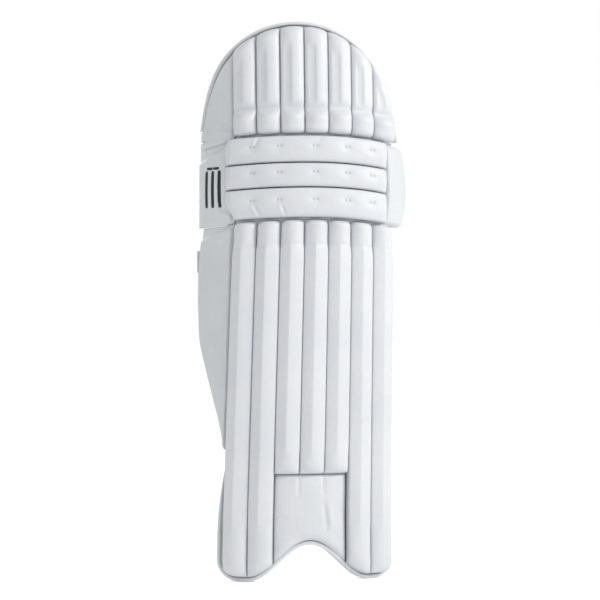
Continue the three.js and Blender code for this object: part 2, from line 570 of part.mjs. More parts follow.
for (const [name, strap] of Object.entries(STRAPS)) {
  addPiece(`${name}_strap`, strapBand(strapRoute(strap), strap.low, strap.high, settle), COLOURS.strap);
  for (const [tape, depth] of [["hook", hookDepth], ["loop", loopDepth]]) {
    const [low, high] = [strap.low + TAPE_MARGIN, strap.high - TAPE_MARGIN];
    addTape(`${name}_${tape}_tape`, -strap.tail, -strap.tip, low, high, depth + strap.depth, strap.bend);
  }
}

// ---- The origin, and the lines that the pieces swing on ------------------------------------------------------
pad.updateMatrixWorld(true);
const bounds = new THREE.Box3().setFromObject(pad);
const centre = bounds.getCenter(new THREE.Vector3());
pad.children.forEach((piece) => piece.position.add(new THREE.Vector3(-centre.x, -centre.y, -bounds.min.z)));

const hingeLine = (point, low, high) => {
  const from = settle(point, low);
  const to = settle(point, high);
  return { through: from.clone().sub(centre).setZ(low - bounds.min.z), along: to.clone().sub(from).normalize() };
};
const sideHinge = (side) => section(side * (FRONT_HALF + HINGE_REACH), WING_MIDDLE, SHIN_INNER_RADIUS);
pad.userData.hinges = {
  calf_wing: hingeLine(sideHinge(-1), CALF_WING_BOTTOM, KNEE_BOTTOM),
  inner_wing: hingeLine(sideHinge(1), INNER_WING_BOTTOM, KNEE_BOTTOM),
  knee_strap: hingeLine(strapAnchor(STRAPS.knee), STRAPS.knee.low, STRAPS.knee.high),
  calf_strap: hingeLine(strapAnchor(STRAPS.calf), STRAPS.calf.low, STRAPS.calf.high),
  ankle_strap: hingeLine(strapAnchor(STRAPS.ankle), STRAPS.ankle.low, STRAPS.ankle.high),
  knee_flex: { through: new THREE.Vector3(-centre.x, FLEX_DEPTH - centre.y, KNEE_BOTTOM - bounds.min.z) },
  top_flex: { through: new THREE.Vector3(-centre.x, FLEX_DEPTH - centre.y, KNEE_TOP - bounds.min.z) },
};
pad.userData.box = bounds;

export default pad;
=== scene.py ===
# %% [markdown]
# # A cricket leg pad
# A batting pad is a shell of foam board, faced with seven sewn channels. Each channel holds a split cane, so the
# front is stiff up and down and still wraps round the leg. Above it are three padded knee rolls and the top hat.
# The solid model already fixes every size and every joint. This lesson makes the leather, stitching, webbing and
# lining around it, and starts by loading that model as a frame that never moves.

# %% Load the frame
import math
import json

import bmesh
import bpy
import numpy as np
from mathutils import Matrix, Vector


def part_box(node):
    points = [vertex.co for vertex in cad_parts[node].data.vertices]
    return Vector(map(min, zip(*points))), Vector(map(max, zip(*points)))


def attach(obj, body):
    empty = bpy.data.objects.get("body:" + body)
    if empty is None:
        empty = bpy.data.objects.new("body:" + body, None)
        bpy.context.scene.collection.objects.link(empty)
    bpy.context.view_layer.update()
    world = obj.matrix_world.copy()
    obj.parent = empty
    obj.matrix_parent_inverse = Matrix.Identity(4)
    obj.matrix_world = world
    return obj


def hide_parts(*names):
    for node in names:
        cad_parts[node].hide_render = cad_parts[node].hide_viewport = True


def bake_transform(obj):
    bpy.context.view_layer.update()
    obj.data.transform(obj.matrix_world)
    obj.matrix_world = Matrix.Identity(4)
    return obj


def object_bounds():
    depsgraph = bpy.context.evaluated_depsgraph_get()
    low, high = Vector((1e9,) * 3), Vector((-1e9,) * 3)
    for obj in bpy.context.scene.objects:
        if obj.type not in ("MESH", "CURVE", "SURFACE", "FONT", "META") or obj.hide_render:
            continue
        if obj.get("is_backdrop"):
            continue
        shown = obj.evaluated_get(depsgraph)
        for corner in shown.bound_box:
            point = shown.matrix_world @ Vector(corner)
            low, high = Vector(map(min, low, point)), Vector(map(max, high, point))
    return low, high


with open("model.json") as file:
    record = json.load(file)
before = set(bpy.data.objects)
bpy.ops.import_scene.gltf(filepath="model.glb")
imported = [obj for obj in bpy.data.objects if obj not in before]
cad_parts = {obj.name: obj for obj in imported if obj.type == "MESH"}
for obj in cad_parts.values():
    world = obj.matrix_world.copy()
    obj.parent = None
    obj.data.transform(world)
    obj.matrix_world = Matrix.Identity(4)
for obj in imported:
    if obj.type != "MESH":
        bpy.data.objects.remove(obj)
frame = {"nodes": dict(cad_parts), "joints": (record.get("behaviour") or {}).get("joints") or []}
solid_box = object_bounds()
print("the solid model's box, in metres:", [tuple(round(c, 3) for c in corner) for corner in solid_box])

# %% [markdown]
# ## The pattern cutter's coordinates
# A maker cuts each piece flat, then sews it, and it takes its curve from the board behind. We work the same way.
# A flat point has s across the pad, z up it and d out through its thickness, in millimetres, with d = 0 where the
# face is stitched. Each side then wraps round on its own radius. These are the sizes of the solid model.

# %% The pad's sizes
MM = 0.001
PAD_HEIGHT = 690
KNEE_BOTTOM = 446
KNEE_TOP = 549
CHANNELS = 7
CHANNEL_WIDTH = 28.6
FRONT_HALF = CHANNELS * CHANNEL_WIDTH / 2
FRONT_RADIUS = 215
CALF_SIDE_RADIUS = 75
KNEE_RADIUS = 36
SHIN_RADIUS = 9
SIDE_TURN_MAX = math.radians(88)
LEAN = math.radians(1.2)
FOOT_SPREAD = 0.06
TOE_KICK = 10
TOE_KICK_HEIGHT = 110
DROOP_INNER = 8
DROOP_OUTER = 4
DROOP_MOST = 1.5
DROOP_LOW = 300
RIM_CENTRE = -21
RIM_REACH = 131
RIM_PAST = 1.1
RIM_FLARE = 5
RIM_FLARE_HEIGHT = 55
TOP_TILT = math.radians(4)
BACKING = 12
LINING = 0.9
GAP = 0.35
SEAM_GAP = 1
FLEX_DEPTH = 36
LINING_BACK = -(BACKING + GAP + LINING)
SHIN_TOP = KNEE_BOTTOM - SEAM_GAP
KNEE_LOW = KNEE_BOTTOM + SEAM_GAP
KNEE_HIGH = KNEE_TOP - SEAM_GAP
TOP_LOW = KNEE_TOP + SEAM_GAP

knee_joint = next(j for j in frame["joints"] if j["name"] == "knee_flex")
ORIGIN = np.array(knee_joint["pos_m"]) - np.array([0, FLEX_DEPTH, KNEE_BOTTOM]) * MM
print("flat (0, 0, 0) lies at", ORIGIN.round(4))

# %% [markdown]
# ## Wrapping a flat piece round the leg
# One function does for the whole pad what the board does for the leather. It turns arrays of flat points into
# places in metres: round the front, round the side, then the small lean, spread, kick and tilt that the pad has.
# Working on whole arrays keeps it fast, and every piece that uses it lines up with its neighbours.

# %% place(): from flat millimetres to the pad's shape
def smooth(x):
    x = np.clip(x, 0, 1)
    return x * x * (3 - 2 * x)


def flare(s, z):
    """The top hat's rim stands out a little at its lower ends, as the knee bulges below it."""
    near_rim = np.clip(abs(s - RIM_CENTRE) / RIM_REACH, 0, RIM_PAST) ** 6
    fade = 1 - smooth((z - KNEE_TOP) / RIM_FLARE_HEIGHT)
    return np.where(s < RIM_CENTRE, -RIM_FLARE, RIM_FLARE) * near_rim * (z > KNEE_TOP) * fade


def place(s, z, d, inner_radius):
    s, z, d = np.broadcast_arrays(*(np.asarray(a, float) for a in (s, z, d)))
    s = s + flare(s, z)
    side = np.where(s < 0, -1.0, 1.0)
    front_turn = np.minimum(abs(s), FRONT_HALF) / FRONT_RADIUS
    radius = np.where(s < 0, CALF_SIDE_RADIUS, inner_radius)
    beyond = np.maximum(0, abs(s) - FRONT_HALF)
    turn = np.minimum(front_turn + beyond / radius, np.maximum(front_turn, SIDE_TURN_MAX))
    straight = beyond - (turn - front_turn) * radius
    x = FRONT_RADIUS * np.sin(front_turn) + radius * (np.sin(turn) - np.sin(front_turn)) + straight * np.cos(turn)
    y = FRONT_RADIUS * (1 - np.cos(front_turn)) + radius * (np.cos(front_turn) - np.cos(turn))
    y = y + straight * np.sin(turn) - d * np.cos(turn)
    return settle(side * (x + d * np.sin(turn)), y, z, droop_at(s, z))


def settle(x, y, z, droop=0):
    """The small spread, lean, kick and tilt of the whole pad, and the change to metres."""
    below = np.maximum(0, KNEE_BOTTOM - z)
    spread = 1 + FOOT_SPREAD * below / KNEE_BOTTOM
    kick = np.maximum(0, 1 - z / TOE_KICK_HEIGHT) ** 2 * TOE_KICK
    tilt = np.maximum(0, z - KNEE_TOP) * math.tan(TOP_TILT)
    points = np.stack([x * spread - below * math.tan(LEAN), y * spread - kick + tilt, z - droop], -1)
    return points * MM + ORIGIN


def droop_at(s, z):
    """How far a level line sinks towards the sides, near the knee and on the top hat."""
    on_shin = (z - DROOP_LOW) / (KNEE_BOTTOM - DROOP_LOW)
    on_top = (PAD_HEIGHT - z) / (PAD_HEIGHT - KNEE_TOP)
    fade = smooth(np.where(z < KNEE_BOTTOM, on_shin, on_top))
    return np.where(s < 0, DROOP_OUTER, DROOP_INNER) * np.minimum((s / FRONT_HALF) ** 2, DROOP_MOST) * fade


print("the seam under the knee rolls lies at", place(0, KNEE_BOTTOM, 0, SHIN_RADIUS).round(3))

# %% [markdown]
# ## Making a mesh from two grids
# Leather over foam is a closed skin: a front that swells and a back that lies on the board. A grid of points for
# each, with the rims joined, gives clean four-sided faces that shade smoothly. Each vertex also carries two
# numbers for its finish: "seam", which is 1 down in a stitched groove and paints shade into the colour there, and
# "worn", which is 1 on a ridge or rim.

# %% Closed skins, and the list of pieces made
def ring_faces(count, rings):
    i, j = np.meshgrid(np.arange(count), np.arange(rings - 1), indexing="ij")
    after = (i + 1) % count
    corners = [i + j * count, after + j * count, after + (j + 1) * count, i + (j + 1) * count]
    return np.stack(corners, -1).reshape(-1, 4)


def grid_faces(across, up, offset=0, flip=False):
    i, j = np.meshgrid(np.arange(across - 1), np.arange(up - 1), indexing="ij")
    at = lambda a, b: a * up + b + offset
    quads = np.stack([at(i, j), at(i + 1, j), at(i + 1, j + 1), at(i, j + 1)], -1).reshape(-1, 4)
    return quads[:, ::-1] if flip else quads


def closed_faces(across, up):
    """Two equal grids, one behind the other, with their rims joined."""
    behind = across * up
    i, j = np.arange(across), np.arange(up)
    rim = np.concatenate([i * up, (across - 1) * up + j[1:], i[::-1][1:] * up + up - 1, j[::-1][1:-1]])
    after = np.roll(rim, -1)
    sides = np.stack([rim, rim + behind, after + behind, after], -1)
    return np.concatenate([grid_faces(across, up), grid_faces(across, up, behind, flip=True), sides])


def new_piece(name, points, faces, material, flat=None, seam=None, worn=None):
    mesh = bpy.data.meshes.new(name)
    mesh.from_pydata(np.asarray(points).tolist(), [], [list(map(int, f)) for f in faces])
    for label, values in (("seam", seam), ("worn", worn)):
        kept = np.zeros(len(mesh.vertices)) if values is None else np.asarray(values, float).ravel()
        mesh.attributes.new(label, "FLOAT", "POINT").data.foreach_set("value", kept.astype(np.float32))
    if flat is not None:
        corner = np.zeros(len(mesh.loops), np.int32)
        mesh.loops.foreach_get("vertex_index", corner)
        pattern = np.asarray(flat).reshape(-1, 2)[corner] * MM
        mesh.uv_layers.new(name="flat").data.foreach_set("uv", pattern.astype(np.float32).ravel())
    edit = bmesh.new()
    edit.from_mesh(mesh)
    bmesh.ops.recalc_face_normals(edit, faces=edit.faces)
    edit.to_mesh(mesh)
    edit.free()
    mesh.shade_smooth()
    mesh.materials.append(material)
    piece = bpy.data.objects.new(name, mesh)
    bpy.context.scene.collection.objects.link(piece)
    return piece


def two_layers(name, layers, s, z, material, seam=0, worn=0):
    """A closed piece from two layers of placed points, which share the flat points s, z."""
    both = lambda v: np.tile(np.broadcast_to(v, s.shape).ravel(), 2)
    flat = np.tile(np.stack([s, z], -1).reshape(-1, 2), (2, 1))
    points = np.concatenate([layer.reshape(-1, 3) for layer in layers])
    return new_piece(name, points, closed_faces(*s.shape), material, flat, both(seam), both(worn))


def skin(name, s, z, front, back, inner_radius, material, seam=0, worn=0):
    layers = [place(s, z, depth, inner_radius) for depth in (front, back)]
    return two_layers(name, layers, s, z, material, seam, worn)


def shares(count, edges=0.0):
    """Even steps from 0 to 1; edges of 1 crowds them towards both ends."""
    even = np.linspace(0, 1, count)
    return (1 - edges) * even + edges * (0.5 - 0.5 * np.cos(np.pi * even))


def lerp(a, b, t):
    return a + (b - a) * t


def grid(across, up):
    """Every pairing of two rows of numbers, as two arrays."""
    return np.meshgrid(across, up, indexing="ij")


made = []


def add(piece, body, stands_for=()):
    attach(piece, body)
    if stands_for:
        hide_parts(*stands_for)
    made.append(piece.name)
    return piece


print("faces of a skin of 3 by 3 points:", len(closed_faces(3, 3)))

# %% [markdown]
# ## Small unevenness and creases
# Sewn foam is never perfectly even. A few broad waves of a fraction of a millimetre break up the reflections,
# and a crease is a narrow valley or ridge along a short line. Both are plain functions of the flat point, so the
# same call always gives the same leather.

# %% Waves and creases
WAVE_COUNT = 7


def waves(s, z, length, height, seed):
    """Broad unevenness: the sum of a few plane waves of about the given length, up to the given height."""
    chance = np.random.default_rng(seed)
    total = 0
    for _ in range(WAVE_COUNT):
        angle, phase = chance.uniform(0, 2 * math.pi, 2)
        step = 2 * math.pi / (length * chance.uniform(0.7, 1.6))
        total = total + np.sin((s * math.cos(angle) + z * math.sin(angle)) * step + phase)
    return total * height / WAVE_COUNT


def crease(s, z, start, end, width, height):
    """A ridge along a short line, or a valley where height is negative; it dies away at both ends."""
    (s0, z0), (s1, z1) = start, end
    length = math.hypot(s1 - s0, z1 - z0)
    along = ((s - s0) * (s1 - s0) + (z - z0) * (z1 - z0)) / length ** 2
    aside = ((s - s0) * (z1 - z0) - (z - z0) * (s1 - s0)) / length
    reach = smooth(1.5 - abs(along - 0.5) * 2.2)
    return height * reach * np.exp(-((aside / width) ** 2))


def dip(distance, width, depth=1.0):
    """A bell curve: depth in the middle, and nearly nothing past twice the width."""
    return depth * np.exp(-((distance / width) ** 2))


print("a 2 mm dip is", round(float(dip(1.0, 1.0, 2)), 2), "mm deep at its width")

# %% [markdown]
# ## Finishes
# Every finish is built from nodes. Coated leather needs three scales at once: a fine pebble grain, a faint
# looseness, and slow changes of tone. The seam number paints shade into the grooves as a darker blue-grey and
# makes them rougher, and the worn number polishes the ridges. Values that are the same all over sit on the shader
# itself.

# %% Node helpers
def start_material(name, **uniform):
    """uniform sets the shader's own values; an underscore in a name stands for a space."""
    material = bpy.data.materials.new(name)
    material.use_nodes = True
    shader = material.node_tree.nodes["Principled BSDF"]
    for socket, value in uniform.items():
        shader.inputs[socket.replace("_", " ")].default_value = value
    return material, shader


def node(material, kind, inputs=None, **settings):
    made_node = material.node_tree.nodes.new(kind)
    for key, value in settings.items():
        setattr(made_node, key, value)
    for socket, value in (inputs or {}).items():
        if isinstance(value, bpy.types.NodeSocket):
            material.node_tree.links.new(value, made_node.inputs[socket])
        else:
            made_node.inputs[socket].default_value = value
    return made_node


def link(material, output, target):
    material.node_tree.links.new(output, target)


def arithmetic(material, operation, a, b, clamp=False):
    return node(material, "ShaderNodeMath", {0: a, 1: b}, operation=operation, use_clamp=clamp).outputs[0]


def blended(material, share, first, second):
    mixed = node(material, "ShaderNodeMix", {"Factor": share}, data_type="RGBA")
    for socket, value in ((6, first), (7, second)):
        if isinstance(value, bpy.types.NodeSocket):
            link(material, value, mixed.inputs[socket])
        else:
            mixed.inputs[socket].default_value = (*value, 1)
    return mixed.outputs[2]


def noise(material, place_at, scale, detail=3):
    inputs = {"Vector": place_at, "Scale": scale, "Detail": detail}
    return node(material, "ShaderNodeTexNoise", inputs).outputs["Fac"]


def spread(material, value, low, high, start=0.3, stop=0.7):
    """Stretch the range from start to stop over the range from low to high."""
    inputs = {"Value": value, "From Min": start, "From Max": stop, "To Min": low, "To Max": high}
    return node(material, "ShaderNodeMapRange", inputs).outputs[0]


def bumped(material, shader, *layers):
    """Each layer is a height, its size in metres and its strength; they stack on one another."""
    last = None
    for height, distance, strength in layers:
        inputs = {"Height": height, "Distance": distance, "Strength": strength}
        if last is not None:
            inputs["Normal"] = last
        last = node(material, "ShaderNodeBump", inputs).outputs["Normal"]
    link(material, last, shader.inputs["Normal"])


def finish_number(material, label):
    return node(material, "ShaderNodeAttribute", attribute_name=label).outputs["Fac"]


def object_place(material):
    return node(material, "ShaderNodeTexCoord").outputs["Object"]


def cells(material, place_at, scale):
    return node(material, "ShaderNodeTexVoronoi", {"Vector": place_at, "Scale": scale}).outputs["Distance"]


def stretched(material, place_at, **settings):
    return node(material, "ShaderNodeMapping", {"Vector": place_at, **settings}).outputs["Vector"]


def paint(material, shader, colour, rough):
    link(material, colour, shader.inputs["Base Color"])
    link(material, rough, shader.inputs["Roughness"])


print("materials so far:", len(bpy.data.materials))

# %% [markdown]
# ### Coated leather
# The face and the side panels are the same white coated leather in two tones: the panels are a little greyer.
# Voronoi cells make the pebbles, and noise makes the looseness. A thin coat on the shader gives the satin shine.

# %% Leather
# GROOVE_TONE is the colour of the shade painted into the grooves; the fine speckles take it as well.
GROOVE_TONE = (0.60, 0.62, 0.65)


def leather(name, light, shade, grain=1500.0):
    material, shader = start_material(name, Coat_Weight=0.12, Coat_Roughness=0.35, Specular_IOR_Level=0.42)
    at = object_place(material)
    seam = finish_number(material, "seam")
    worn = finish_number(material, "worn")
    patches = spread(material, noise(material, at, 11.0, 4), 0.0, 1.0)
    fine = noise(material, at, 160.0, 2)
    tone = blended(material, patches, light, shade)
    speckled = blended(material, spread(material, fine, 0.0, 0.10), tone, GROOVE_TONE)
    groove_roughness = arithmetic(material, "MULTIPLY", seam, 0.3)
    polished = arithmetic(material, "MULTIPLY", worn, 0.10)
    rough = arithmetic(material, "ADD", spread(material, fine, 0.40, 0.56), groove_roughness)
    rough = arithmetic(material, "SUBTRACT", rough, polished, True)
    # Towards the seam number the colour goes to GROOVE_TONE: painted shade in the grooves.
    paint(material, shader, blended(material, seam, speckled, GROOVE_TONE), rough)
    loose = noise(material, at, 55.0, 4)
    bumped(material, shader, (loose, 0.0012, 0.22), (cells(material, at, grain), 0.00018, 0.30))
    return material


face_leather = leather("face_leather", (0.86, 0.868, 0.878), (0.80, 0.812, 0.826))
wing_leather = leather("wing_leather", (0.84, 0.85, 0.848), (0.77, 0.785, 0.782))
binding_leather = leather("binding_leather", (0.87, 0.88, 0.89), (0.81, 0.82, 0.835), grain=2200.0)
print("leathers made:", face_leather.name, wing_leather.name, binding_leather.name)

# %% [markdown]
# ### Cloth and webbing
# A weave is two sets of threads that pass over each other. Two wave textures at right angles, multiplied, give
# the crossings. They read the pattern cutter's flat coordinates, so the threads follow the cloth round a bend.

# %% Woven finishes
def woven(name, light, shade, threads_per_metre, depth=0.00025, twill=0.0, sheen=0.25, by_flat=True):
    material, shader = start_material(name, Sheen_Weight=sheen, Sheen_Roughness=0.6, Specular_IOR_Level=0.2)
    kind, output = ("ShaderNodeUVMap", "UV") if by_flat else ("ShaderNodeTexCoord", "Object")
    at = node(material, kind, **({"uv_map": "flat"} if by_flat else {})).outputs[output]
    turned = stretched(material, at, Rotation=(0, 0, twill))
    scale = threads_per_metre / 3.2
    sets = [
        node(material, "ShaderNodeTexWave", {"Vector": turned, "Scale": scale, "Distortion": 0.4, "Detail": 1.0},
             bands_direction=direction).outputs["Fac"]
        for direction in (("X", "Y") if by_flat else ("X", "Z"))
    ]
    crossing = arithmetic(material, "MULTIPLY", *sets)
    cloudy = noise(material, at, 24.0, 4)
    tone = blended(material, spread(material, cloudy, 0.0, 1.0), light, shade)
    dark = tuple(0.62 * c for c in shade)
    # Where the crossing is low, between threads, the colour goes to dark: painted shade in the gaps.
    colour = blended(material, spread(material, crossing, 0.55, 0.0, 0.0, 0.6), tone, dark)
    paint(material, shader, colour, spread(material, crossing, 0.92, 0.70, 0.0, 1.0))
    fuzz = noise(material, at, 2600.0, 2)
    bumped(material, shader, (crossing, depth, 0.7), (fuzz, depth * 0.4, 0.35))
    return material


lining_cloth = woven("lining_cloth", (0.78, 0.79, 0.80), (0.68, 0.69, 0.71), 900)
webbing = woven("strap_webbing", (0.86, 0.86, 0.85), (0.76, 0.76, 0.75), 620, depth=0.0005, twill=math.radians(45))
ribbon = woven("tab_ribbon", (0.90, 0.90, 0.90), (0.82, 0.82, 0.83), 1500, depth=0.00012, sheen=0.1)
print("woven finishes made:", lining_cloth.name, webbing.name, ribbon.name)

# %% [markdown]
# ### Hook and loop tape, cane, foam, thread and ink
# Loop tape is a felt of tiny threads, so its height is busy noise. Split cane has long fibres and a few darker
# nodes across them: noise stretched along its length does for the fibres. Upholstery foam is open cells.

# %% The other finishes
def nap():
    material, shader = start_material("tape_nap", Sheen_Weight=0.5, Sheen_Roughness=0.7, Specular_IOR_Level=0.15)
    at = object_place(material)
    tufts = noise(material, at, 1900.0, 5)
    colour = blended(material, spread(material, tufts, 0, 1), (0.70, 0.71, 0.72), (0.47, 0.48, 0.50))
    paint(material, shader, colour, spread(material, tufts, 0.98, 0.8))
    bumped(material, shader, (tufts, 0.0009, 0.9))
    return material


def split_cane():
    material, shader = start_material("split_cane", Specular_IOR_Level=0.45)
    at = object_place(material)
    fibres = noise(material, stretched(material, at, Scale=(900, 900, 14)), 1.0, 5)
    across = noise(material, stretched(material, at, Scale=(2, 2, 22)), 1.0, 1)
    rings = spread(material, across, 0, 0.6, 0.55, 0.8)
    tone = blended(material, spread(material, fibres, 0, 1), (0.66, 0.46, 0.22), (0.45, 0.28, 0.11))
    paint(material, shader, blended(material, rings, tone, (0.30, 0.17, 0.06)), spread(material, fibres, 0.38, 0.62))
    bumped(material, shader, (fibres, 0.0005, 0.5))
    return material


def open_foam():
    material, shader = start_material("open_foam", Specular_IOR_Level=0.1)
    at = object_place(material)
    pores = cells(material, at, 900.0)
    # The pores, low in the bump, take the darker tone: painted shade in the cells.
    colour = blended(material, spread(material, pores, 0, 1, 0.1, 0.8), (0.60, 0.52, 0.28), (0.84, 0.77, 0.52))
    paint(material, shader, colour, spread(material, pores, 0.85, 1.0, 0.1, 0.8))
    bumped(material, shader, (pores, 0.0008, 0.8))
    return material


def twisted_thread(name, light, shade):
    material, shader = start_material(name, Sheen_Weight=0.2, Specular_IOR_Level=0.3)
    at = object_place(material)
    plies = noise(material, at, 2400.0, 2)
    colour = blended(material, spread(material, plies, 0, 1), light, shade)
    paint(material, shader, colour, spread(material, plies, 0.6, 0.9))
    bumped(material, shader, (plies, 0.0003, 0.6))
    return material


def printed_ink():
    material, shader = start_material("black_ink", Specular_IOR_Level=0.5)
    at = object_place(material)
    thin = noise(material, at, 420.0, 3)
    colour = blended(material, spread(material, thin, 0, 1, 0.5, 0.8), (0.012, 0.012, 0.014), (0.035, 0.036, 0.04))
    paint(material, shader, colour, spread(material, thin, 0.34, 0.5))
    bumped(material, shader, (cells(material, at, 1500.0), 0.00015, 0.25))
    return material


tape = nap()
cane = split_cane()
foam = open_foam()
ink = printed_ink()
thread = twisted_thread("white_thread", (0.80, 0.82, 0.85), (0.60, 0.63, 0.68))
# The seam thread is the white thread painted darker: painted shade for stitches that lie low in grooves.
shaded_thread = twisted_thread("shaded_seam_thread", (0.62, 0.64, 0.68), (0.48, 0.50, 0.54))
print("finishes made:", len(bpy.data.materials))

# %% [markdown]
# ## The foot's edge
# The foot is two lobes with an arch between them for the shoe, and a small flare above each ankle. The edge is a
# formula, so it can be drawn in by any inset: the binding is the band between two insets of the same line.

# %% Edges of the foot
EDGE_BINDING = 4.5
FOOT_OUTER = FRONT_HALF + 10
FLARE_TOP = 136
FLARE_FOOT = 54
FLARE_STEP = 2.6
FLARE_TAPER = 0.5
FOOT_CORNER = 27
LOBE = 28
ARCH_HALF = FRONT_HALF - LOBE
ARCH_HEIGHT = 44
CORNER_STEPS = 12
ARCH_STEPS = 72


def arch_at(s):
    return np.where(abs(s) < ARCH_HALF, ARCH_HEIGHT / 2 * (1 + np.cos(np.pi * s / ARCH_HALF)), 0)


def sole_at(s, inset):
    past = np.maximum(0, abs(s) - (FOOT_OUTER - FOOT_CORNER))
    corner = FOOT_CORNER - np.sqrt(np.maximum(0, (FOOT_CORNER - inset) ** 2 - past ** 2))
    return np.where(past > 0, corner, arch_at(s) + inset)


def half_width_at(z, inset):
    rise = np.clip((z - FLARE_FOOT) / (FLARE_TOP - FLARE_FOOT), 0, None)
    half = lerp(FOOT_OUTER - inset, FRONT_HALF + FLARE_STEP - inset * FLARE_TAPER, rise ** 2)
    return np.where(z > FLARE_TOP, FRONT_HALF, half)


def sole_edge(inset):
    turn = np.linspace(0, np.pi / 2, CORNER_STEPS + 1)
    centre, radius = FOOT_OUTER - FOOT_CORNER, FOOT_CORNER - inset
    corner = np.stack([centre + radius * np.sin(turn), FOOT_CORNER - radius * np.cos(turn)], -1)
    s = np.linspace(-ARCH_HALF, ARCH_HALF, ARCH_STEPS + 1)
    slope = -ARCH_HEIGHT * np.pi / (2 * ARCH_HALF) * np.sin(np.pi * s / ARCH_HALF)
    length = np.sqrt(1 + slope ** 2)
    arch = np.stack([s - inset * slope / length, arch_at(s) + inset / length], -1)
    return np.concatenate([corner[::-1] * (-1, 1), arch, corner])


def foot_edge(inset):
    z = np.linspace(FLARE_FOOT, FLARE_TOP, 24)
    ankle = np.stack([half_width_at(z, inset), z], -1)
    return np.concatenate([ankle[::-1] * (-1, 1), sole_edge(inset), ankle])


print("the foot's edge is", len(foot_edge(0)), "points long")

# %% [markdown]
# ## Boards and linings
# Behind the face is a foam board, covered in the same leather, and behind that a fabric lining that is quilted
# to it. The boards show at the ankle flares and in the grooves. The lining is a sheet of cloth of even thickness,
# drawn in along each quilting line, and we note the flat size that it is cut to.

# %% Boards behind the face, and quilted linings
QUILT_PUFF = 1.6


def quilted(s):
    return QUILT_PUFF * abs(np.sin(np.pi * (s / CHANNEL_WIDTH + 0.5))) ** 0.5


def board_and_lining(section, body, flat_board, flat_lining, inner_radius):
    s, z = flat_board
    # The board's seam number of 0.12 paints it a little darker all over, as shade where it shows in the grooves and
    # flares.
    board = skin(section + "_board", s, z, -GAP + waves(s, z, 40, 0.3, 5), -BACKING, inner_radius, face_leather, 0.12)
    add(board, body, [section + "_backing"])
    s, z = flat_lining
    front = -BACKING - GAP - quilted(s) + waves(s, z, 30, 0.25, 6)
    lining = skin(section + "_quilting", s, z, front, front - LINING, inner_radius, lining_cloth)
    add(lining, body, [section + "_lining"])


def shin_flat(inset, rows):
    sole = sole_edge(inset)
    v = np.concatenate([np.linspace(0, 1, rows // 3, endpoint=False) * 0.25, np.linspace(0.25, 1, rows)])
    z = lerp(sole[:, 1:], SHIN_TOP, v[None])
    return sole[:, :1] * half_width_at(z, inset) / half_width_at(FOOT_CORNER, inset), z


def knee_flat(half):
    return grid(lerp(-half, half, shares(84)), lerp(KNEE_LOW, KNEE_HIGH, shares(12)))


TOP_CENTRE = -21
DOME_WIDTH = 131
DOME_BASE = KNEE_TOP + 2
DOME_HEIGHT = PAD_HEIGHT - DOME_BASE
DOME_INNER_ANGLE = 0.025
BINDING_END_ANGLE = 0.085


def dome_at(s, inset):
    share = np.clip(abs(s - TOP_CENTRE) / (DOME_WIDTH - inset), 0, 1)
    return DOME_BASE + (DOME_HEIGHT - inset) * np.sqrt(1 - share ** 2)


def dome_edge(inset, outer_angle, inner_angle, steps):
    angle = np.linspace(np.pi - outer_angle, inner_angle, steps)
    return TOP_CENTRE + (DOME_WIDTH - inset) * np.cos(angle), DOME_BASE + (DOME_HEIGHT - inset) * np.sin(angle)


def top_flat(inset):
    outer_angle = math.acos((FRONT_HALF + TOP_CENTRE) / (DOME_WIDTH - inset))
    s, high = dome_edge(inset, outer_angle, DOME_INNER_ANGLE, 90)
    v = shares(30)[None]
    return np.broadcast_to(s[:, None], (90, 30)).copy(), lerp(TOP_LOW, high[:, None], v)


board_and_lining("shin", "shin", shin_flat(EDGE_BINDING + 0.7, 36), shin_flat(EDGE_BINDING + 2, 36), SHIN_RADIUS)
board_and_lining("knee", "knee", knee_flat(FRONT_HALF), knee_flat(FRONT_HALF - 2), KNEE_RADIUS)
board_and_lining("top_hat", "top_hat", top_flat(EDGE_BINDING + 0.7), top_flat(EDGE_BINDING + 2), KNEE_RADIUS)

# %% [markdown]
# ## Channels
# A channel is a tube of leather stuffed with foam, with a split cane under its face. Between its seams it rises
# steeply, then shows two flats that meet in a crisp ridge over the cane. Past the cane's ends there is only foam,
# so it is round there. The height of the skin at each point is one formula: a rounded tube, times a tent.

# %% How a channel rises between its seams
CHANNEL_RISE = 14
CHANNEL_SEAM = 3
CHANNEL_FILL = 4.5
RIDGE_AT = 0.43
FACET_FALL = 0.42
CHANNEL_ACROSS = np.sort(np.concatenate([shares(33, 0.8), [RIDGE_AT - 0.02, RIDGE_AT, RIDGE_AT + 0.02]]))


def tube(u, power):
    return np.clip(np.sin(np.pi * u), 0, 1) ** power


def facets(u):
    """Two flats that meet at the cane's ridge."""
    away = np.where(u < RIDGE_AT, (RIDGE_AT - u) / RIDGE_AT, (u - RIDGE_AT) / (1 - RIDGE_AT))
    return (1.04 - FACET_FALL * np.sqrt(away ** 2 + 0.0006)) * tube(u, 0.17)


def rounded_end(distance, reach):
    """Falls to nothing at an end, over the last stretch."""
    t = np.clip(distance / reach, 0, 1)
    return np.sqrt(np.clip(1 - (1 - t) ** 2, 0, 1))


def seam_shade(u, width=0.022):
    return dip(np.minimum(u, 1 - u), width)


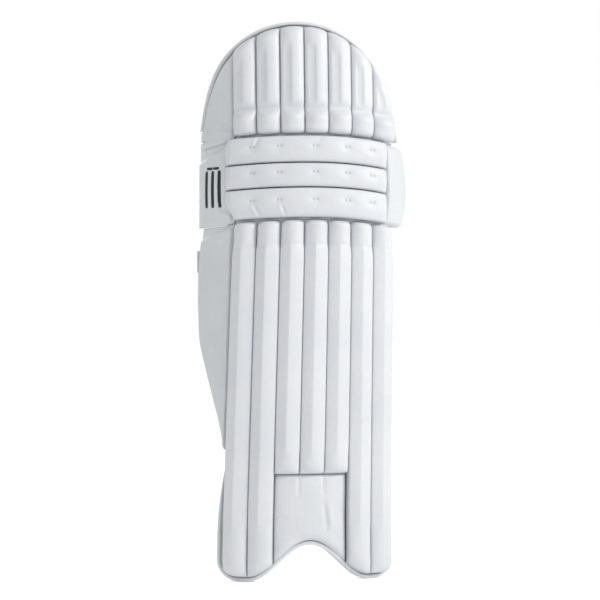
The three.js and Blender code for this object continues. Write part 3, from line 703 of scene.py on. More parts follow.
def channel_skin(name, left, right, low_at, high_at, ups, height, inner_radius, filled_at):
    """height gives the tube's share of its full rise. filled_at is how far the seams are filled, from 0 to 1."""
    u, v = grid(CHANNEL_ACROSS, ups)
    s = lerp(left + GAP / 2, right - GAP / 2, u)
    low, high = low_at(s, u), high_at(s, u)
    z = lerp(low, high, v)
    rise = height(u, s, z, z - low, high - z)
    filled = CHANNEL_FILL * filled_at(z)
    from_end = np.minimum(z - low, high - z)
    front = (CHANNEL_SEAM + filled) * rounded_end(from_end + 0.3, 3) + (CHANNEL_RISE - filled) * rise
    # seam paints shade into the grooves along the channel's sides and across its ends.
    seam = np.maximum(seam_shade(u), dip(from_end, 1.4, 0.7))
    return skin(name, s, z, front, 0.0, inner_radius, face_leather, seam, dip(u - RIDGE_AT, 0.05))


print("points across a channel:", len(CHANNEL_ACROSS))


# %% [markdown]
# ### The seven channels of the shin
# Channels 1, 2, 6 and 7 run down into the foot's lobes, and the middle three stop above the instep. A soft
# crease runs across all seven, just below the knee rolls, where the canes end and the pad gives.

# %% Shin channels
INSTEP_TOP = 131
CANE_TOP = 414
CREASE_SOFT = 15
FACET_FOOT = 66
SHORT_FACET_FOOT = 158
SHORT_CHANNELS = (3, 4, 5)
CANE_FADE = 22
LONG_UPS = np.concatenate([0.22 * shares(40, 0.3)[:-1], 0.22 + 0.66 * shares(50)[:-1], 0.88 + 0.12 * shares(30, 0.5)])
filled_to_canes = lambda z: smooth((CANE_TOP - z) / CANE_FADE + 0.3)


def channel_edge(n):
    return -FRONT_HALF + n * CHANNEL_WIDTH


def shin_height(short, seed):
    foot = SHORT_FACET_FOOT if short else FACET_FOOT
    fade = 16 if short else 12

    def height(u, s, z, above, below):
        caned = smooth((z - foot) / fade + 0.5) * smooth((CANE_TOP - z) / CREASE_SOFT + 0.5)
        ridge = lerp(0.96 * tube(u, 0.42), facets(u), caned)
        folded = dip(z - CANE_TOP - 2 * (u - 0.5), 2.2, 0.10) * tube(u, 0.5)
        ends = rounded_end(above, 13 if short else 19) * rounded_end(below, 7)
        sag = waves(s, z, 60, 0.035, seed) * tube(u, 0.6)
        return np.maximum(0, (ridge - folded + sag) * ends)
    return height


for n in range(1, CHANNELS + 1):
    short = n in SHORT_CHANNELS
    left, right = channel_edge(n - 1), channel_edge(n)
    low_at = lambda s, u: (INSTEP_TOP + GAP + 0 * s) if short else sole_at(s, EDGE_BINDING + 1.2)
    high_at = lambda s, u: SHIN_TOP - 3.5 * abs(2 * u - 1) ** 5
    piece = channel_skin(f"shin_channel_{n}_leather", left, right, low_at, high_at, LONG_UPS,
                         shin_height(short, n), SHIN_RADIUS, filled_to_canes)
    add(piece, "shin", [f"shin_channel_{n}"])
print("shin channels sewn:", CHANNELS)

# %% [markdown]
# ### The instep panel
# Between the lobes the face is one plain, lightly padded panel. The seams above it run on for two short rows of
# stitching, and a soft wrinkle leads down from them to the arch.

# %% Instep panel
INSTEP_SEAM = 3.5
INSTEP_RISE = 5.5
INSTEP_EDGES = (2, 5)
INSTEP_ROW_FOOT = 106
INSTEP_PULLS = (((15, 96), (19, 62), 2.6, -2.0), ((20, 98), (24, 64), 3.0, 1.0))
u, v = grid(shares(70, 0.5), shares(60, 0.4))
instep_left, instep_right = channel_edge(INSTEP_EDGES[0]) + GAP, channel_edge(INSTEP_EDGES[1]) - GAP
s = lerp(instep_left, instep_right, u)
low = sole_at(s, EDGE_BINDING + 1.0)
z = lerp(low, INSTEP_TOP - GAP, v)
edge = rounded_end(z - low, 12) * rounded_end(INSTEP_TOP - z, 6) * tube(u, 0.25)
pulls = sum(crease(s, z, *pull) for pull in INSTEP_PULLS)
rows = sum(crease(s, z, (at, INSTEP_TOP), (at, INSTEP_ROW_FOOT), 2.2, -1.5)
           for at in (-CHANNEL_WIDTH / 2, CHANNEL_WIDTH / 2))
front = (INSTEP_SEAM + INSTEP_RISE) * edge + (waves(s, z, 34, 0.9, 31) + pulls + rows) * edge
# instep_seam paints shade into the seams at the panel's sides and along its foot.
instep_seam = np.maximum(seam_shade(u, 0.012), dip(z - low, 1.5))
instep = skin("instep_panel", s, z, front, 0.0, SHIN_RADIUS, face_leather, instep_seam)
add(instep, "shin", ["instep_pad"])
print("instep panel from", round(float(low.min())), "to", INSTEP_TOP, "mm")

# %% [markdown]
# ### The top hat's channels
# The same seven channels run up the top hat and end in arches under its binding. Here the canes are short and
# the foam thicker, so the flats are faint. Below them the pad folds along a soft valley, then bulges to its seam.

# %% Top hat channels
TOP_CREASE = 582
TOP_SOFT = 10
TOP_FILLED = 0.3
BINDING_ROOM = 5
TOP_UPS = np.concatenate([shares(40, 0.5)[:-1] * 0.4, 0.4 + 0.6 * shares(46, 0.5)])


def top_height(n):
    def height(u, s, z, above, below):
        caned = smooth((z - TOP_CREASE - 6) / TOP_SOFT + 0.5) * smooth((below - 24) / 14 + 0.5)
        strip = np.exp(-(((u - 0.30) / 0.14) ** 4)) * caned * 0.13
        ridge = tube(u, 0.27) - strip
        tilt = 1.5 * (u - 0.5) + waves(s, z, 50, 2.0, 40 + n)
        folded = dip(z - TOP_CREASE - tilt, 6, 0.42) + dip(z - TOP_CREASE - tilt, 2.5, 0.16)
        bulge = 0.26 * dip(z - TOP_CREASE + 12, 8, 1)
        ends = rounded_end(above, 9) * rounded_end(below, 12)
        return np.maximum(0, (ridge + (bulge - folded) * tube(u, 0.5)) * ends)
    return height


top_end = TOP_CENTRE + DOME_WIDTH - EDGE_BINDING - BINDING_ROOM
for n in range(1, CHANNELS + 1):
    left, right = channel_edge(n - 1), top_end if n == CHANNELS else channel_edge(n)
    low_at = lambda s, u: TOP_LOW + 1.8 * abs(2 * u - 1) ** 4
    high_at = lambda s, u: dome_at(s, EDGE_BINDING + 1) - 1.5 * abs(2 * u - 1) ** 4
    piece = channel_skin(f"top_channel_{n}_leather", left, right, low_at, high_at, TOP_UPS, top_height(n), KNEE_RADIUS,
                         lambda z: TOP_FILLED)
    add(piece, "top_hat", [f"top_channel_{n}"])
print("top hat channels sewn:", CHANNELS)

# %% [markdown]
# ## Knee rolls
# Three broad rolls lie across the knee. Each is a sleeve of leather round a foam core, fairly flat in front, and
# buttoned down by five small tufts. A tuft is a pair of dimples in a wider hollow, and some of them pull a
# crease towards the nearest seam. The rolls' ends curve in under the side panels.

# %% Rolls and tufts
ROLL_RISE = 18
ROLL_SEAM = 9
ROLL_EDGES = (0, 0.37, 0.67, 1)
ROLL_OUTER = FRONT_HALF + 9
ROLL_INNER = FRONT_HALF - 11
ROLL_TUCK = 9
ROLL_CURVE = 26
ROLL_CURVE_TOP = 12
TUFT_COLUMNS = (-76, -45, -4, 34, 65)
TUFT_LIFT = 3
TUFT_HALF = 2.2
ROLL_NAMES = ("lower", "middle", "upper")
CREASES = (
    ((-77, 464), (-70, 449), 1.6, 0.5),
    ((-73, 462), (-66, 450), 1.8, -1.4),
    ((-45, 463), (-40, 449), 1.6, 0.5),
    ((-42, 461), (-37, 450), 1.8, -1.3),
    ((-76, 536), (-71, 548), 1.7, 0.6),
    ((-72, 536), (-67, 548), 2.0, -1.5),
    ((0, 540), (6, 548), 2.5, -0.9),
)


def tufts(s, z, row_z):
    """The hollows that a row of tufts presses into the leather."""
    total = 0
    for column in TUFT_COLUMNS:
        total = total + dip(np.hypot(s - column, (z - row_z) * 1.3), 8, 1.5)
        for side in (-1, 1):
            total = total + dip(np.hypot(s - column - side * TUFT_HALF, z - row_z), 1.3, 2.0)
    return total


def roll_end(z):
    """How far out a roll reaches: its end curves in at the lower and upper seams."""
    curved = smooth((z - KNEE_LOW) / ROLL_CURVE) * (1 - 0.3 * smooth((z - KNEE_HIGH) / ROLL_CURVE_TOP + 1))
    return ROLL_OUTER - ROLL_TUCK * (1 - curved)


def roll_depth(low, high):
    """The height of one roll's skin at flat points."""
    def depth(s, z):
        v = (z - low) / (high - low)
        ends = rounded_end(s + roll_end(z), 9) * rounded_end(ROLL_INNER - s, 12)
        body = tube(v, 0.25) * ends
        marks = sum(crease(s, z, *rest) for rest in CREASES) - tufts(s, z, (low + high) / 2 + TUFT_LIFT)
        edge = np.minimum(np.minimum(z - low, high - z), s + roll_end(z))
        return (ROLL_SEAM * rounded_end(edge + 0.3, 2.5) + (ROLL_RISE - ROLL_SEAM + 2) * body
                + (marks + waves(s, z, 45, 0.8, 17)) * body)
    return depth


rolls = []
for i, name in enumerate(ROLL_NAMES):
    low = lerp(KNEE_LOW, KNEE_HIGH, ROLL_EDGES[i]) + GAP / 2
    high = lerp(KNEE_LOW, KNEE_HIGH, ROLL_EDGES[i + 1]) - GAP / 2
    depth = roll_depth(low, high)
    rolls.append(((low + high) / 2, depth))
    u, v = grid(shares(230, 0.25), shares(46, 0.6))
    z = lerp(low, high, v)
    s = lerp(-roll_end(z), ROLL_INNER, u)
    shade = np.maximum(seam_shade(v, 0.02), dip(s + roll_end(z), 1.0, 0.8))
    roll = skin(f"knee_roll_{name}_leather", s, z, depth(s, z), 0.0, KNEE_RADIUS, face_leather, shade)
    add(roll, "knee", [f"knee_roll_{name}"])
print("knee rolls at heights", [round(middle) for middle, _ in rolls])

# %% [markdown]
# The cores are bars of foam inside the rolls. They are cut square and soften at their ends, so a stretched
# grid whose height dies away at the rim gives their shape.

# %% Foam cores
CORE_HEIGHT = 22
CORE_DEPTH = 13
CORE_INSET = 4
CORE_MARGIN = 8
for i, name in enumerate(ROLL_NAMES):
    middle = rolls[i][0]
    tall = (KNEE_HIGH - KNEE_LOW) * (ROLL_EDGES[i + 1] - ROLL_EDGES[i])
    half = min(CORE_HEIGHT, tall - CORE_MARGIN) / 2
    u, v = grid(shares(60), shares(14, 0.6))
    s = lerp(CORE_MARGIN + 2 - FRONT_HALF, ROLL_INNER - CORE_MARGIN, u)
    swell = CORE_DEPTH / 2 * tube(v, 0.4) * tube(u, 0.08)
    centre = CORE_INSET + CORE_DEPTH / 2
    core = skin(f"knee_core_{name}_foam", s, lerp(middle - half, middle + half, v), centre + swell - 0.3,
                centre - swell + 0.3, KNEE_RADIUS, foam)
    add(core, "knee", [f"knee_roll_core_{name}"])
print("foam cores cut:", len(ROLL_NAMES))

# %% [markdown]
# ## Side panels
# The panels beside the shin, the knee and the top hat are soft, plain pads that wrap round the leg. Each is two
# skins of leather over thin foam, so both faces swell from a shared middle and close at a rounded rim. A few
# broad waves and pulled creases near the seams keep them from looking moulded. Where the pad bends, a panel thins
# to a lap that hangs over the panel below, and the panel below thins to a tongue that slides up behind that lap.

# %% The shape of a side panel
WING_MIDDLE = -3
WING_HALF = 6
INNER_WING_HALF = 3
TUCK_DEPTH = -0.3
TUCK_RUN = 6
TUCK_SLOPE = 0.45
TONGUE = 8
LAP_THICKNESS = 1.9
LAP_FALL = 17
RIM_HALF = 1.8
ROOT_HALF_THICK = 0.8
ROOT_SLOPE = 1.25
FLEX_LIMIT = math.radians(20)
SEAM_COVER = 2.6
wing_low = WING_MIDDLE - WING_HALF
wing_top = KNEE_BOTTOM - 3


def depth_behind(s):
    """How far behind the face's middle a panel lies, where the pad bends."""
    return (place(s, KNEE_BOTTOM, wing_low, KNEE_RADIUS)[..., 1] - ORIGIN[1]) / MM


def closing(s):
    """How far the panels slide over each other behind the axis, when the knee bends all the way."""
    return np.maximum(0, depth_behind(s) - FLEX_DEPTH) * math.tan(FLEX_LIMIT)


def side_panel(name, side, start, reach_at, low_at, high_at, half, inner_radius, body, node, pulls=(), lap=0, seed=1,
               slides_under=None, slides_over=None, covered_at=None, on_board=True, rim=3.5):
    """lap is how far the panel's front skin stands over the front's own edge, where it is sewn down.
    slides_under is the seam above and the next panel's lower edge: near it this panel is thin and tucks in.
    slides_over is the seam that this panel hangs over as a thin lap. covered_at is how far out the knee rolls lie
    over it. A panel with on_board starts on the front's own board; the others thin at their root, to turn there."""
    out, v = grid(shares(70, 0.6), shares(150, 0.5))
    nominal = lerp(low_at(np.array(side * start)), high_at(np.array(side * start)), v)
    reach = reach_at(nominal)
    s = side * lerp(start, reach, out)
    low, high = low_at(s), high_at(s)
    z = lerp(low, high, v)

    def skins(s, z, reach, low, high):
        a = abs(s)
        swell = rounded_end(reach - a, rim) * rounded_end(z - low, 5) * rounded_end(high - z, 5)
        at_seam = rounded_end(a - start, 5)
        soft = waves(s, z, 55, 1.1, seed) + sum(crease(s, z, *pull) for pull in pulls)
        belly = np.clip(np.sin(np.pi * (z - low) / (high - low)), 0, 1) ** 0.5
        raised = lap * (1 - smooth((a - FRONT_HALF - LAP_FALL) / 16)) * belly
        front = WING_MIDDLE + RIM_HALF + (half - RIM_HALF + soft + raised) * swell * at_seam
        if not on_board:
            front = np.minimum(front, WING_MIDDLE + ROOT_HALF_THICK + ROOT_SLOPE * (a - start))
        back = WING_MIDDLE - RIM_HALF - (half - RIM_HALF) * swell * at_seam
        if slides_under is not None:
            seam, edge_above = slides_under
            under = smooth((z - edge_above(s) + closing(s) + 2) / TUCK_RUN + 1)
            hidden = TUCK_DEPTH - TUCK_SLOPE * np.maximum(0, z - seam)
            front = lerp(front, np.minimum(front, hidden), under)
        if slides_over is not None:
            over = smooth((slides_over + TONGUE + closing(s) + 3 - z) / 4)
            front = np.maximum(front, lerp(front, TUCK_DEPTH + LAP_THICKNESS, over))
            back = lerp(back, np.maximum(back, TUCK_DEPTH + 0.5), over)
        if covered_at is not None:
            clear = smooth((a - covered_at(z)) / 2.5)
            front = lerp(np.minimum(front, -0.5), front, clear)
            back = np.minimum(back, front - 0.8)
        if on_board:
            over_board = 1 - smooth((a - FRONT_HALF - 0.5) / 2.5)
            front, back = np.maximum(front, lerp(front, 1.2, over_board)), lerp(back, 0.2, over_board)
        return front, back

    front, back = skins(s, z, reach, low, high)
    edge = np.minimum(np.minimum(z - low, high - z), abs(s) - start)
    # The seam number along the panel's edges paints shade into its seams.
    piece = skin(name, s, z, front, back, inner_radius, wing_leather, dip(edge, 1.0, 0.6), dip(reach - abs(s), 3))
    add(piece, body, [node])
    return lambda s, z: skins(s, z, reach_at(z), low_at(s), high_at(s))[0]


print("panels slide by up to", round(float(closing(np.array(FRONT_HALF + 62.0))), 1), "mm as the knee bends")

# %% [markdown]
# ### The calf and inner panels of the shin
# The calf panel's edge is one smooth curve through a few given points. It is narrow at the ankle and full
# at the calf. The inner panel is a plain strip with rounded corners that folds straight back. A short strip of
# leather, the gusset, is sewn behind the outer seam, so that leather shows in the gap that opens as the knee bends.

# %% Panels of the shin
CALF_WING_BOTTOM = 160
CALF_EDGE = ((CALF_WING_BOTTOM, 6), (200, 15), (255, 34), (297, 50), (345, 57), (400, 59), (wing_top, 53))
INNER_WING_LENGTH = 52
INNER_WING_BOTTOM = 150
INNER_WING_CORNER = 16
HINGE_START = 0.9
CALF_PULLS = [((-106, 436), (-122, 424), 3, 0.9)]
LAP_ROOM = 0.4
GUSSET_WIDTH = 16
GUSSET_LOW = KNEE_BOTTOM - 12
GUSSET_HIGH = KNEE_BOTTOM + 7


def smooth_curve(points, count):
    """A Catmull-Rom curve through the points, as a spline curve in the solid model is."""
    p = np.array(points, float)
    t = np.linspace(0, len(p) - 1, count)
    i = np.minimum(t.astype(int), len(p) - 2)
    f = (t - i)[:, None]
    p0, p1, p2, p3 = p[np.maximum(i - 1, 0)], p[i], p[i + 1], p[np.minimum(i + 2, len(p) - 1)]
    v0, v1 = (p2 - p0) / 2, (p3 - p1) / 2
    return (2 * p1 - 2 * p2 + v0 + v1) * f ** 3 + (-3 * p1 + 3 * p2 - 2 * v0 - v1) * f ** 2 + v0 * f + p1


calf_edge = smooth_curve(CALF_EDGE, 200)


def calf_reach(z):
    return FRONT_HALF + np.interp(z, calf_edge[:, 0], calf_edge[:, 1])


def inner_reach(z):
    from_end = np.clip(1 - np.minimum(z - INNER_WING_BOTTOM, wing_top - z) / INNER_WING_CORNER, 0, 1)
    return FRONT_HALF + INNER_WING_LENGTH - INNER_WING_CORNER * (1 - np.sqrt(1 - from_end ** 2))


def notch(seam, cover=0):
    """The lower edge above a bending seam: it rises towards the back. Ahead of the axis, cover lets it down."""
    def low(s):
        drop = cover * (1 - smooth((depth_behind(s) - FLEX_DEPTH / 2) / (FLEX_DEPTH / 2)))
        return seam + SEAM_GAP - drop + closing(s)
    return low


def hanging(seam, most):
    """The lower edge of a panel that laps over the one below: it hangs lower towards the back."""
    return lambda s: seam + SEAM_GAP - SEAM_COVER - most * np.clip((abs(s) - FRONT_HALF) / 50, 0, 1)


def tongue(seam):
    """The upper edge that tucks in: it reaches furthest where the seam opens, ahead of the axis."""
    return lambda s: seam - SEAM_GAP + TONGUE * (1 - smooth((depth_behind(s) - 28) / 14))


flat_at = lambda level: (lambda s: level + 0 * s)
over_calf = hanging(KNEE_BOTTOM, 3)
over_knee = hanging(KNEE_TOP, 8)
side_panel("calf_panel", -1, FRONT_HALF + HINGE_START, calf_reach, flat_at(CALF_WING_BOTTOM),
           lambda s: over_calf(s) - LAP_ROOM, WING_HALF, SHIN_RADIUS, "calf_side", "calf_wing", CALF_PULLS, seed=3,
           slides_under=(KNEE_BOTTOM, over_calf), on_board=False)
side_panel("inner_panel", 1, FRONT_HALF + HINGE_START, inner_reach, flat_at(INNER_WING_BOTTOM), flat_at(wing_top),
           INNER_WING_HALF, SHIN_RADIUS, "inner_side", "inner_wing", seed=4, on_board=False)

u, v = grid(shares(20), shares(24))
s, z = -lerp(FRONT_HALF + 0.4, FRONT_HALF + GUSSET_WIDTH, u), lerp(GUSSET_LOW, GUSSET_HIGH, v)
# The seam number of 0.2 paints the gusset darker, as shade in the gap where it shows.
gusset = skin("knee_gusset", s, z, LINING_BACK + 3.6, LINING_BACK + 2.2, KNEE_RADIUS, wing_leather, 0.2)
add(gusset, "shin")
print("gusset cut", GUSSET_WIDTH, "by", GUSSET_HIGH - GUSSET_LOW, "mm")

# %% [markdown]
# ### Panels of the knee and the top hat
# The outer panels hang a little over the panel below, and lower towards the back. The outer knee panel starts
# under the ends of the rolls. The inner one laps over the front's edge, and its lower edge rises towards the back,
# because the knee bends there and it has to clear the strip below.

# %% Panels of the knee and top hat
KNEE_WING_OUTER = 62
KNEE_WING_INNER = 38
TOP_WING_END = DOME_WIDTH - TOP_CENTRE - EDGE_BINDING - 4
TOP_WING_SPARE = 8
KNEE_PULLS = [((-104, 452), (-122, 462), 2.2, 1.6), ((-105, 458), (-124, 471), 3.0, -1.3),
              ((-103, 541), (-118, 536), 3.0, 1.0)]
TOP_PULLS = [((-104, 556), (-126, 561), 3.0, 1.4), ((-103, 566), (-118, 572), 4.0, -1.2)]
reach_to = lambda length: (lambda z: FRONT_HALF + length + 0 * z)
top_reach = lambda z: TOP_WING_END + TOP_WING_SPARE + 0 * z
top_edge = lambda s: np.maximum(dome_at(s, EDGE_BINDING + 1), binding_end - 1)
binding_end = DOME_BASE + (DOME_HEIGHT - EDGE_BINDING) * math.sin(BINDING_END_ANGLE)
outer_skin = side_panel("knee_panel_outer", -1, FRONT_HALF + 0.7, reach_to(KNEE_WING_OUTER), over_calf,
                        tongue(KNEE_TOP), WING_HALF, KNEE_RADIUS, "knee", "knee_wing_outer", KNEE_PULLS, 2, 8,
                        slides_under=(KNEE_TOP, over_knee), slides_over=KNEE_BOTTOM, covered_at=roll_end,
                        on_board=False)
side_panel("knee_panel_inner", 1, ROLL_INNER + 0.6, reach_to(KNEE_WING_INNER), notch(KNEE_BOTTOM, SEAM_COVER),
           flat_at(KNEE_HIGH), WING_HALF, KNEE_RADIUS, "knee", "knee_wing_inner", lap=9, seed=9, rim=10)
side_panel("top_hat_panel", -1, FRONT_HALF + HINGE_START, top_reach, over_knee, top_edge, WING_HALF, KNEE_RADIUS,
           "top_hat", "top_hat_wing", TOP_PULLS, 2, 10, slides_over=KNEE_TOP)
print("side panels sewn: 5")

# %% [markdown]
# ## Bindings
# A strip of leather is folded over the raw edge of board and lining, and sewn down on both faces. Its section is
# a rounded U, drawn here as a loop of insets and depths that is swept along the edge. Using the edge's own
# formula for each inset keeps the strip even round the tight lobes and over the arch.

# %% Swept bindings
def swept_loop(name, edge_at, front, back, width, inner_radius, material, count=24):
    turn = np.linspace(0, 2 * np.pi, count, endpoint=False)
    squared = lambda w: np.sign(w) * abs(w) ** 0.55
    insets = width / 2 + width / 2 * squared(np.cos(turn))
    depths = (front + back) / 2 + (front - back) / 2 * squared(np.sin(turn))
    rings = np.stack([edge_at(inset) for inset in insets], 1)
    length = len(rings)
    points = place(rings[..., 0], rings[..., 1], depths[None], inner_radius)
    faces = ring_faces(count, length).tolist()
    faces += [list(range(count))[::-1], list(range((length - 1) * count, length * count))]
    # groove paints a line of shade along the binding's inner edge, where it meets the face.
    groove = np.where(insets > width * 0.97, 0.5, 0.0)
    worn = np.where(insets < width * 0.4, 1.0, 0.0)
    tile = lambda row: np.tile(row, length)
    return new_piece(name, points.reshape(-1, 3), faces, material, rings.reshape(-1, 2), tile(groove), tile(worn))


FOOT_BINDING_FRONT = 3.2
TOP_BINDING_FRONT = 4
foot_strip = swept_loop("foot_binding_strip", foot_edge, FOOT_BINDING_FRONT, LINING_BACK - 0.4, EDGE_BINDING + 0.6,
                        SHIN_RADIUS, binding_leather)
add(foot_strip, "shin", ["foot_binding"])
top_line = lambda inset: np.stack(dome_edge(inset, BINDING_END_ANGLE, DOME_INNER_ANGLE, 120), -1)
top_strip = swept_loop("top_binding_strip", top_line, TOP_BINDING_FRONT, LINING_BACK - 0.4, EDGE_BINDING, KNEE_RADIUS,
                       binding_leather)
add(top_strip, "top_hat", ["top_binding"])
print("bindings swept along", len(foot_edge(0)), "and 120 points")

# %% [markdown]
# ## Stitches
# Lockstitch shows as a row of short beads, each a little longer than its thread is thick. One small bead, repeated
# by its place and direction, makes every row. In the deep seams the thread lies low, and its grey is painted shade.

# %% Rows of stitches
BEAD_SIDES = 6
BEAD_RINGS = ((-1, 0.25), (-0.7, 0.8), (0, 1), (0.7, 0.8), (1, 0.25))
LOOK_AHEAD = 0.0003
SQUARE_TO = (0.13, 0.98, 0.15)


def measured(line):
    """The length along a line at each of its points."""
    return np.concatenate([[0], np.cumsum(np.linalg.norm(np.diff(line, axis=0), axis=1))])


def point_at(line, run, at):
    return np.stack([np.interp(at, run, column) for column in line.T], -1)


def unit(vectors):
    return vectors / np.linalg.norm(vectors, axis=1)[:, None]


def stitch_rows(name, rows, body, material, pitch=3.6, length=2.5, thick=0.85):
    points, faces = [], []
    per_bead = BEAD_SIDES * len(BEAD_RINGS)
    for line in rows:
        run = measured(line)
        at = np.arange(pitch / 2 * MM, run[-1], pitch * MM)
        centre = point_at(line, run, at)
        along = unit(point_at(line, run, at + LOOK_AHEAD) - point_at(line, run, at - LOOK_AHEAD))
        side = unit(np.cross(along, SQUARE_TO))
        out = np.cross(along, side)
        for c, a, p, q in zip(centre, along, side, out):
            base = len(points) * per_bead
            bead = []
            for share, size in BEAD_RINGS:
                for k in range(BEAD_SIDES):
                    turn = 2 * math.pi * k / BEAD_SIDES
                    ring = (p * math.cos(turn) + q * math.sin(turn)) * size * thick / 2
                    bead.append(c + (a * share * length / 2 + ring) * MM)
            points.append(bead)
            faces += (ring_faces(BEAD_SIDES, len(BEAD_RINGS)) + base).tolist()
            faces += [list(range(base, base + BEAD_SIDES))[::-1]]
            faces += [list(range(base + per_bead - BEAD_SIDES, base + per_bead))]
    print(name, "has", len(points), "stitches")
    return add(new_piece(name, np.concatenate(points), faces, material), body)


print("points in one stitch:", BEAD_SIDES * len(BEAD_RINGS))


# %% [markdown]
# ### Where the rows run
# The seams between channels, the seam over the instep, the instep's two short rows, the flares and both bindings
# are stitched. The thread sits partway up each groove, where it can be seen between the swelling channels.

# %% Stitch every seam
SEAM_THREAD = 10.0
THREAD_SUNK = 0.05
steps = lambda low, high: np.linspace(low, high, 90)
shin_rows = []
for n in range(1, CHANNELS):
    in_lobe = n not in SHORT_CHANNELS[:2]
    foot = float(sole_at(np.array(channel_edge(n)), EDGE_BINDING + 8)) if in_lobe else INSTEP_TOP + 2
    shin_rows.append(place(channel_edge(n), steps(foot, SHIN_TOP - 4), SEAM_THREAD, SHIN_RADIUS))
stitch_rows("shin_seam_stitches", shin_rows, "shin", shaded_thread)
top_rows = [
    place(channel_edge(n), steps(TOP_LOW + 4, float(dome_at(np.array(channel_edge(n)), EDGE_BINDING + 6))),
               SEAM_THREAD, KNEE_RADIUS)
    for n in range(1, CHANNELS)
]
stitch_rows("top_hat_seam_stitches", top_rows, "top_hat", shaded_thread)

across = np.linspace(instep_left + 3, instep_right - 3, 60)
instep_rows = [place(across, np.full(60, INSTEP_TOP), 4.2, SHIN_RADIUS)]
for side in (-1, 1):
    instep_rows.append(place(side * CHANNEL_WIDTH / 2, steps(INSTEP_TOP - 3, 108), 7.2, SHIN_RADIUS))
stitch_rows("instep_stitches", instep_rows, "shin", thread, 2.9, 2.1, 0.8)

flare_z = np.linspace(30, FLARE_TOP - 8, 60)
flare_rows = [place(side * half_width_at(flare_z, EDGE_BINDING + 1.9), flare_z, 0.5, SHIN_RADIUS)
              for side in (-1, 1)]
stitch_rows("flare_stitches", flare_rows, "shin", shaded_thread, 2.8, 1.8, 0.7)
for name, line, front, inner_radius, body in (
        ("foot", foot_edge(EDGE_BINDING * 0.72), FOOT_BINDING_FRONT, SHIN_RADIUS, "shin"),
        ("top", top_line(EDGE_BINDING * 0.75), TOP_BINDING_FRONT, KNEE_RADIUS, "top_hat")):
    edge_row = place(*line.T, front - THREAD_SUNK, inner_radius)
    stitch_rows(name + "_binding_stitches", [edge_row], body, thread, 3.0, 2.1, 0.5)

# %% [markdown]
# Each tuft of the knee rolls is a short stitch between its two dimples.

# %% Tuft stitches
TUFT_ROW = (-0.95, -0.2, 0.2, 0.95)
tuft_rows = []
for middle, depth in rolls:
    for column in TUFT_COLUMNS:
        s = column + TUFT_HALF * np.array(TUFT_ROW)
        z = np.full(len(TUFT_ROW), middle + TUFT_LIFT)
        tuft_rows.append(place(s, z, depth(s, z) + 0.15, KNEE_RADIUS))
stitch_rows("knee_roll_tufts", tuft_rows, "knee", thread, 2.2, 1.6, 0.7)

# %% [markdown]
# ## The soft parts inside
# Two bolsters and a knee cup hold the pad off the leg. They are little cushions, so this is where cloth simulation
# earns its time: a slightly small shape is remeshed evenly and blown up under pressure, and each point may only
# move so far, so the cushion stays where it is sewn.

# %% Stuff a cushion with pressure
VOXEL = 0.004
PRESSURE = 4.0
LAST_FRAME = 20


def stuff(piece, most):
    """Blow a closed piece up as cloth; no point moves further than most, in metres."""
    scene = bpy.context.scene
    bpy.context.view_layer.objects.active = piece
    piece.select_set(True)
    remesh = piece.modifiers.new("even", "REMESH")
    remesh.mode = "VOXEL"
    remesh.voxel_size = VOXEL
    bpy.ops.object.modifier_apply(modifier=remesh.name)
    rest = np.array([v.co for v in piece.data.vertices])
    cloth = piece.modifiers.new("stuffing", "CLOTH")
    cloth.settings.use_pressure = True
    cloth.settings.uniform_pressure_force = PRESSURE
    cloth.settings.effector_weights.gravity = 0
    cloth.point_cache.frame_start, cloth.point_cache.frame_end = 1, LAST_FRAME
    for number in range(1, LAST_FRAME + 1):
        scene.frame_set(number)
    bpy.ops.object.modifier_apply(modifier=cloth.name)
    blown = np.array([v.co for v in piece.data.vertices])
    move = blown - rest
    far = np.linalg.norm(move, axis=1)
    move *= (np.minimum(far, most) / np.maximum(far, 1e-9))[:, None]
    piece.data.vertices.foreach_set("co", (rest + move).astype(np.float32).ravel())
    print(piece.name, "swelled by up to", round(float(np.minimum(far, most).max()) / MM, 1), "mm")
    scene.frame_set(1)
    finer = piece.modifiers.new("finer", "SUBSURF")
    finer.levels = finer.render_levels = 1
    bpy.ops.object.modifier_apply(modifier=finer.name)
    piece.select_set(False)
    piece.data.shade_smooth()
    return piece


# %% [markdown]
# The bolsters run up both sides of the shin bone, and the cup sits behind the knee rolls. Both start from the
# same rounded form, pressed flat where it is sewn to the lining.

# %% Bolsters and knee cup
BOLSTER_LOW = 215
BOLSTER_HIGH = 425
BOLSTER_NEAR = 20
BOLSTER_FAR = 62
BOLSTER_RISE = 16
CUP_HALF = 58
CUP_MARGIN = 16
SWELL_ROOM = 2.2
CUSHION_GAP = 1.6
CUSHION_RIM = 3
SWELL_MOST = 0.003
cushion_cloth = woven("cushion_cloth", (0.80, 0.81, 0.82), (0.70, 0.71, 0.73), 900, by_flat=False)


def from_rim(s, z, left, right, low, high):
    return np.minimum(np.minimum(s - left, right - s), np.minimum(z - low, high - z))


def cushion(name, left, right, low, high, rise, inner_radius):
    u, v = grid(shares(30, 0.5), shares(60, 0.5))
    s, z = lerp(left + SWELL_ROOM, right - SWELL_ROOM, u), lerp(low + SWELL_ROOM, high - SWELL_ROOM, v)
    rounded = rounded_end(from_rim(s, z, left, right, low, high), min(14, (right - left) / 2))
    full = CUSHION_RIM + (rise - CUSHION_RIM - SWELL_ROOM) * rounded
    front = LINING_BACK - CUSHION_GAP
    return skin(name, s, z, front, front - full, inner_radius, cushion_cloth)


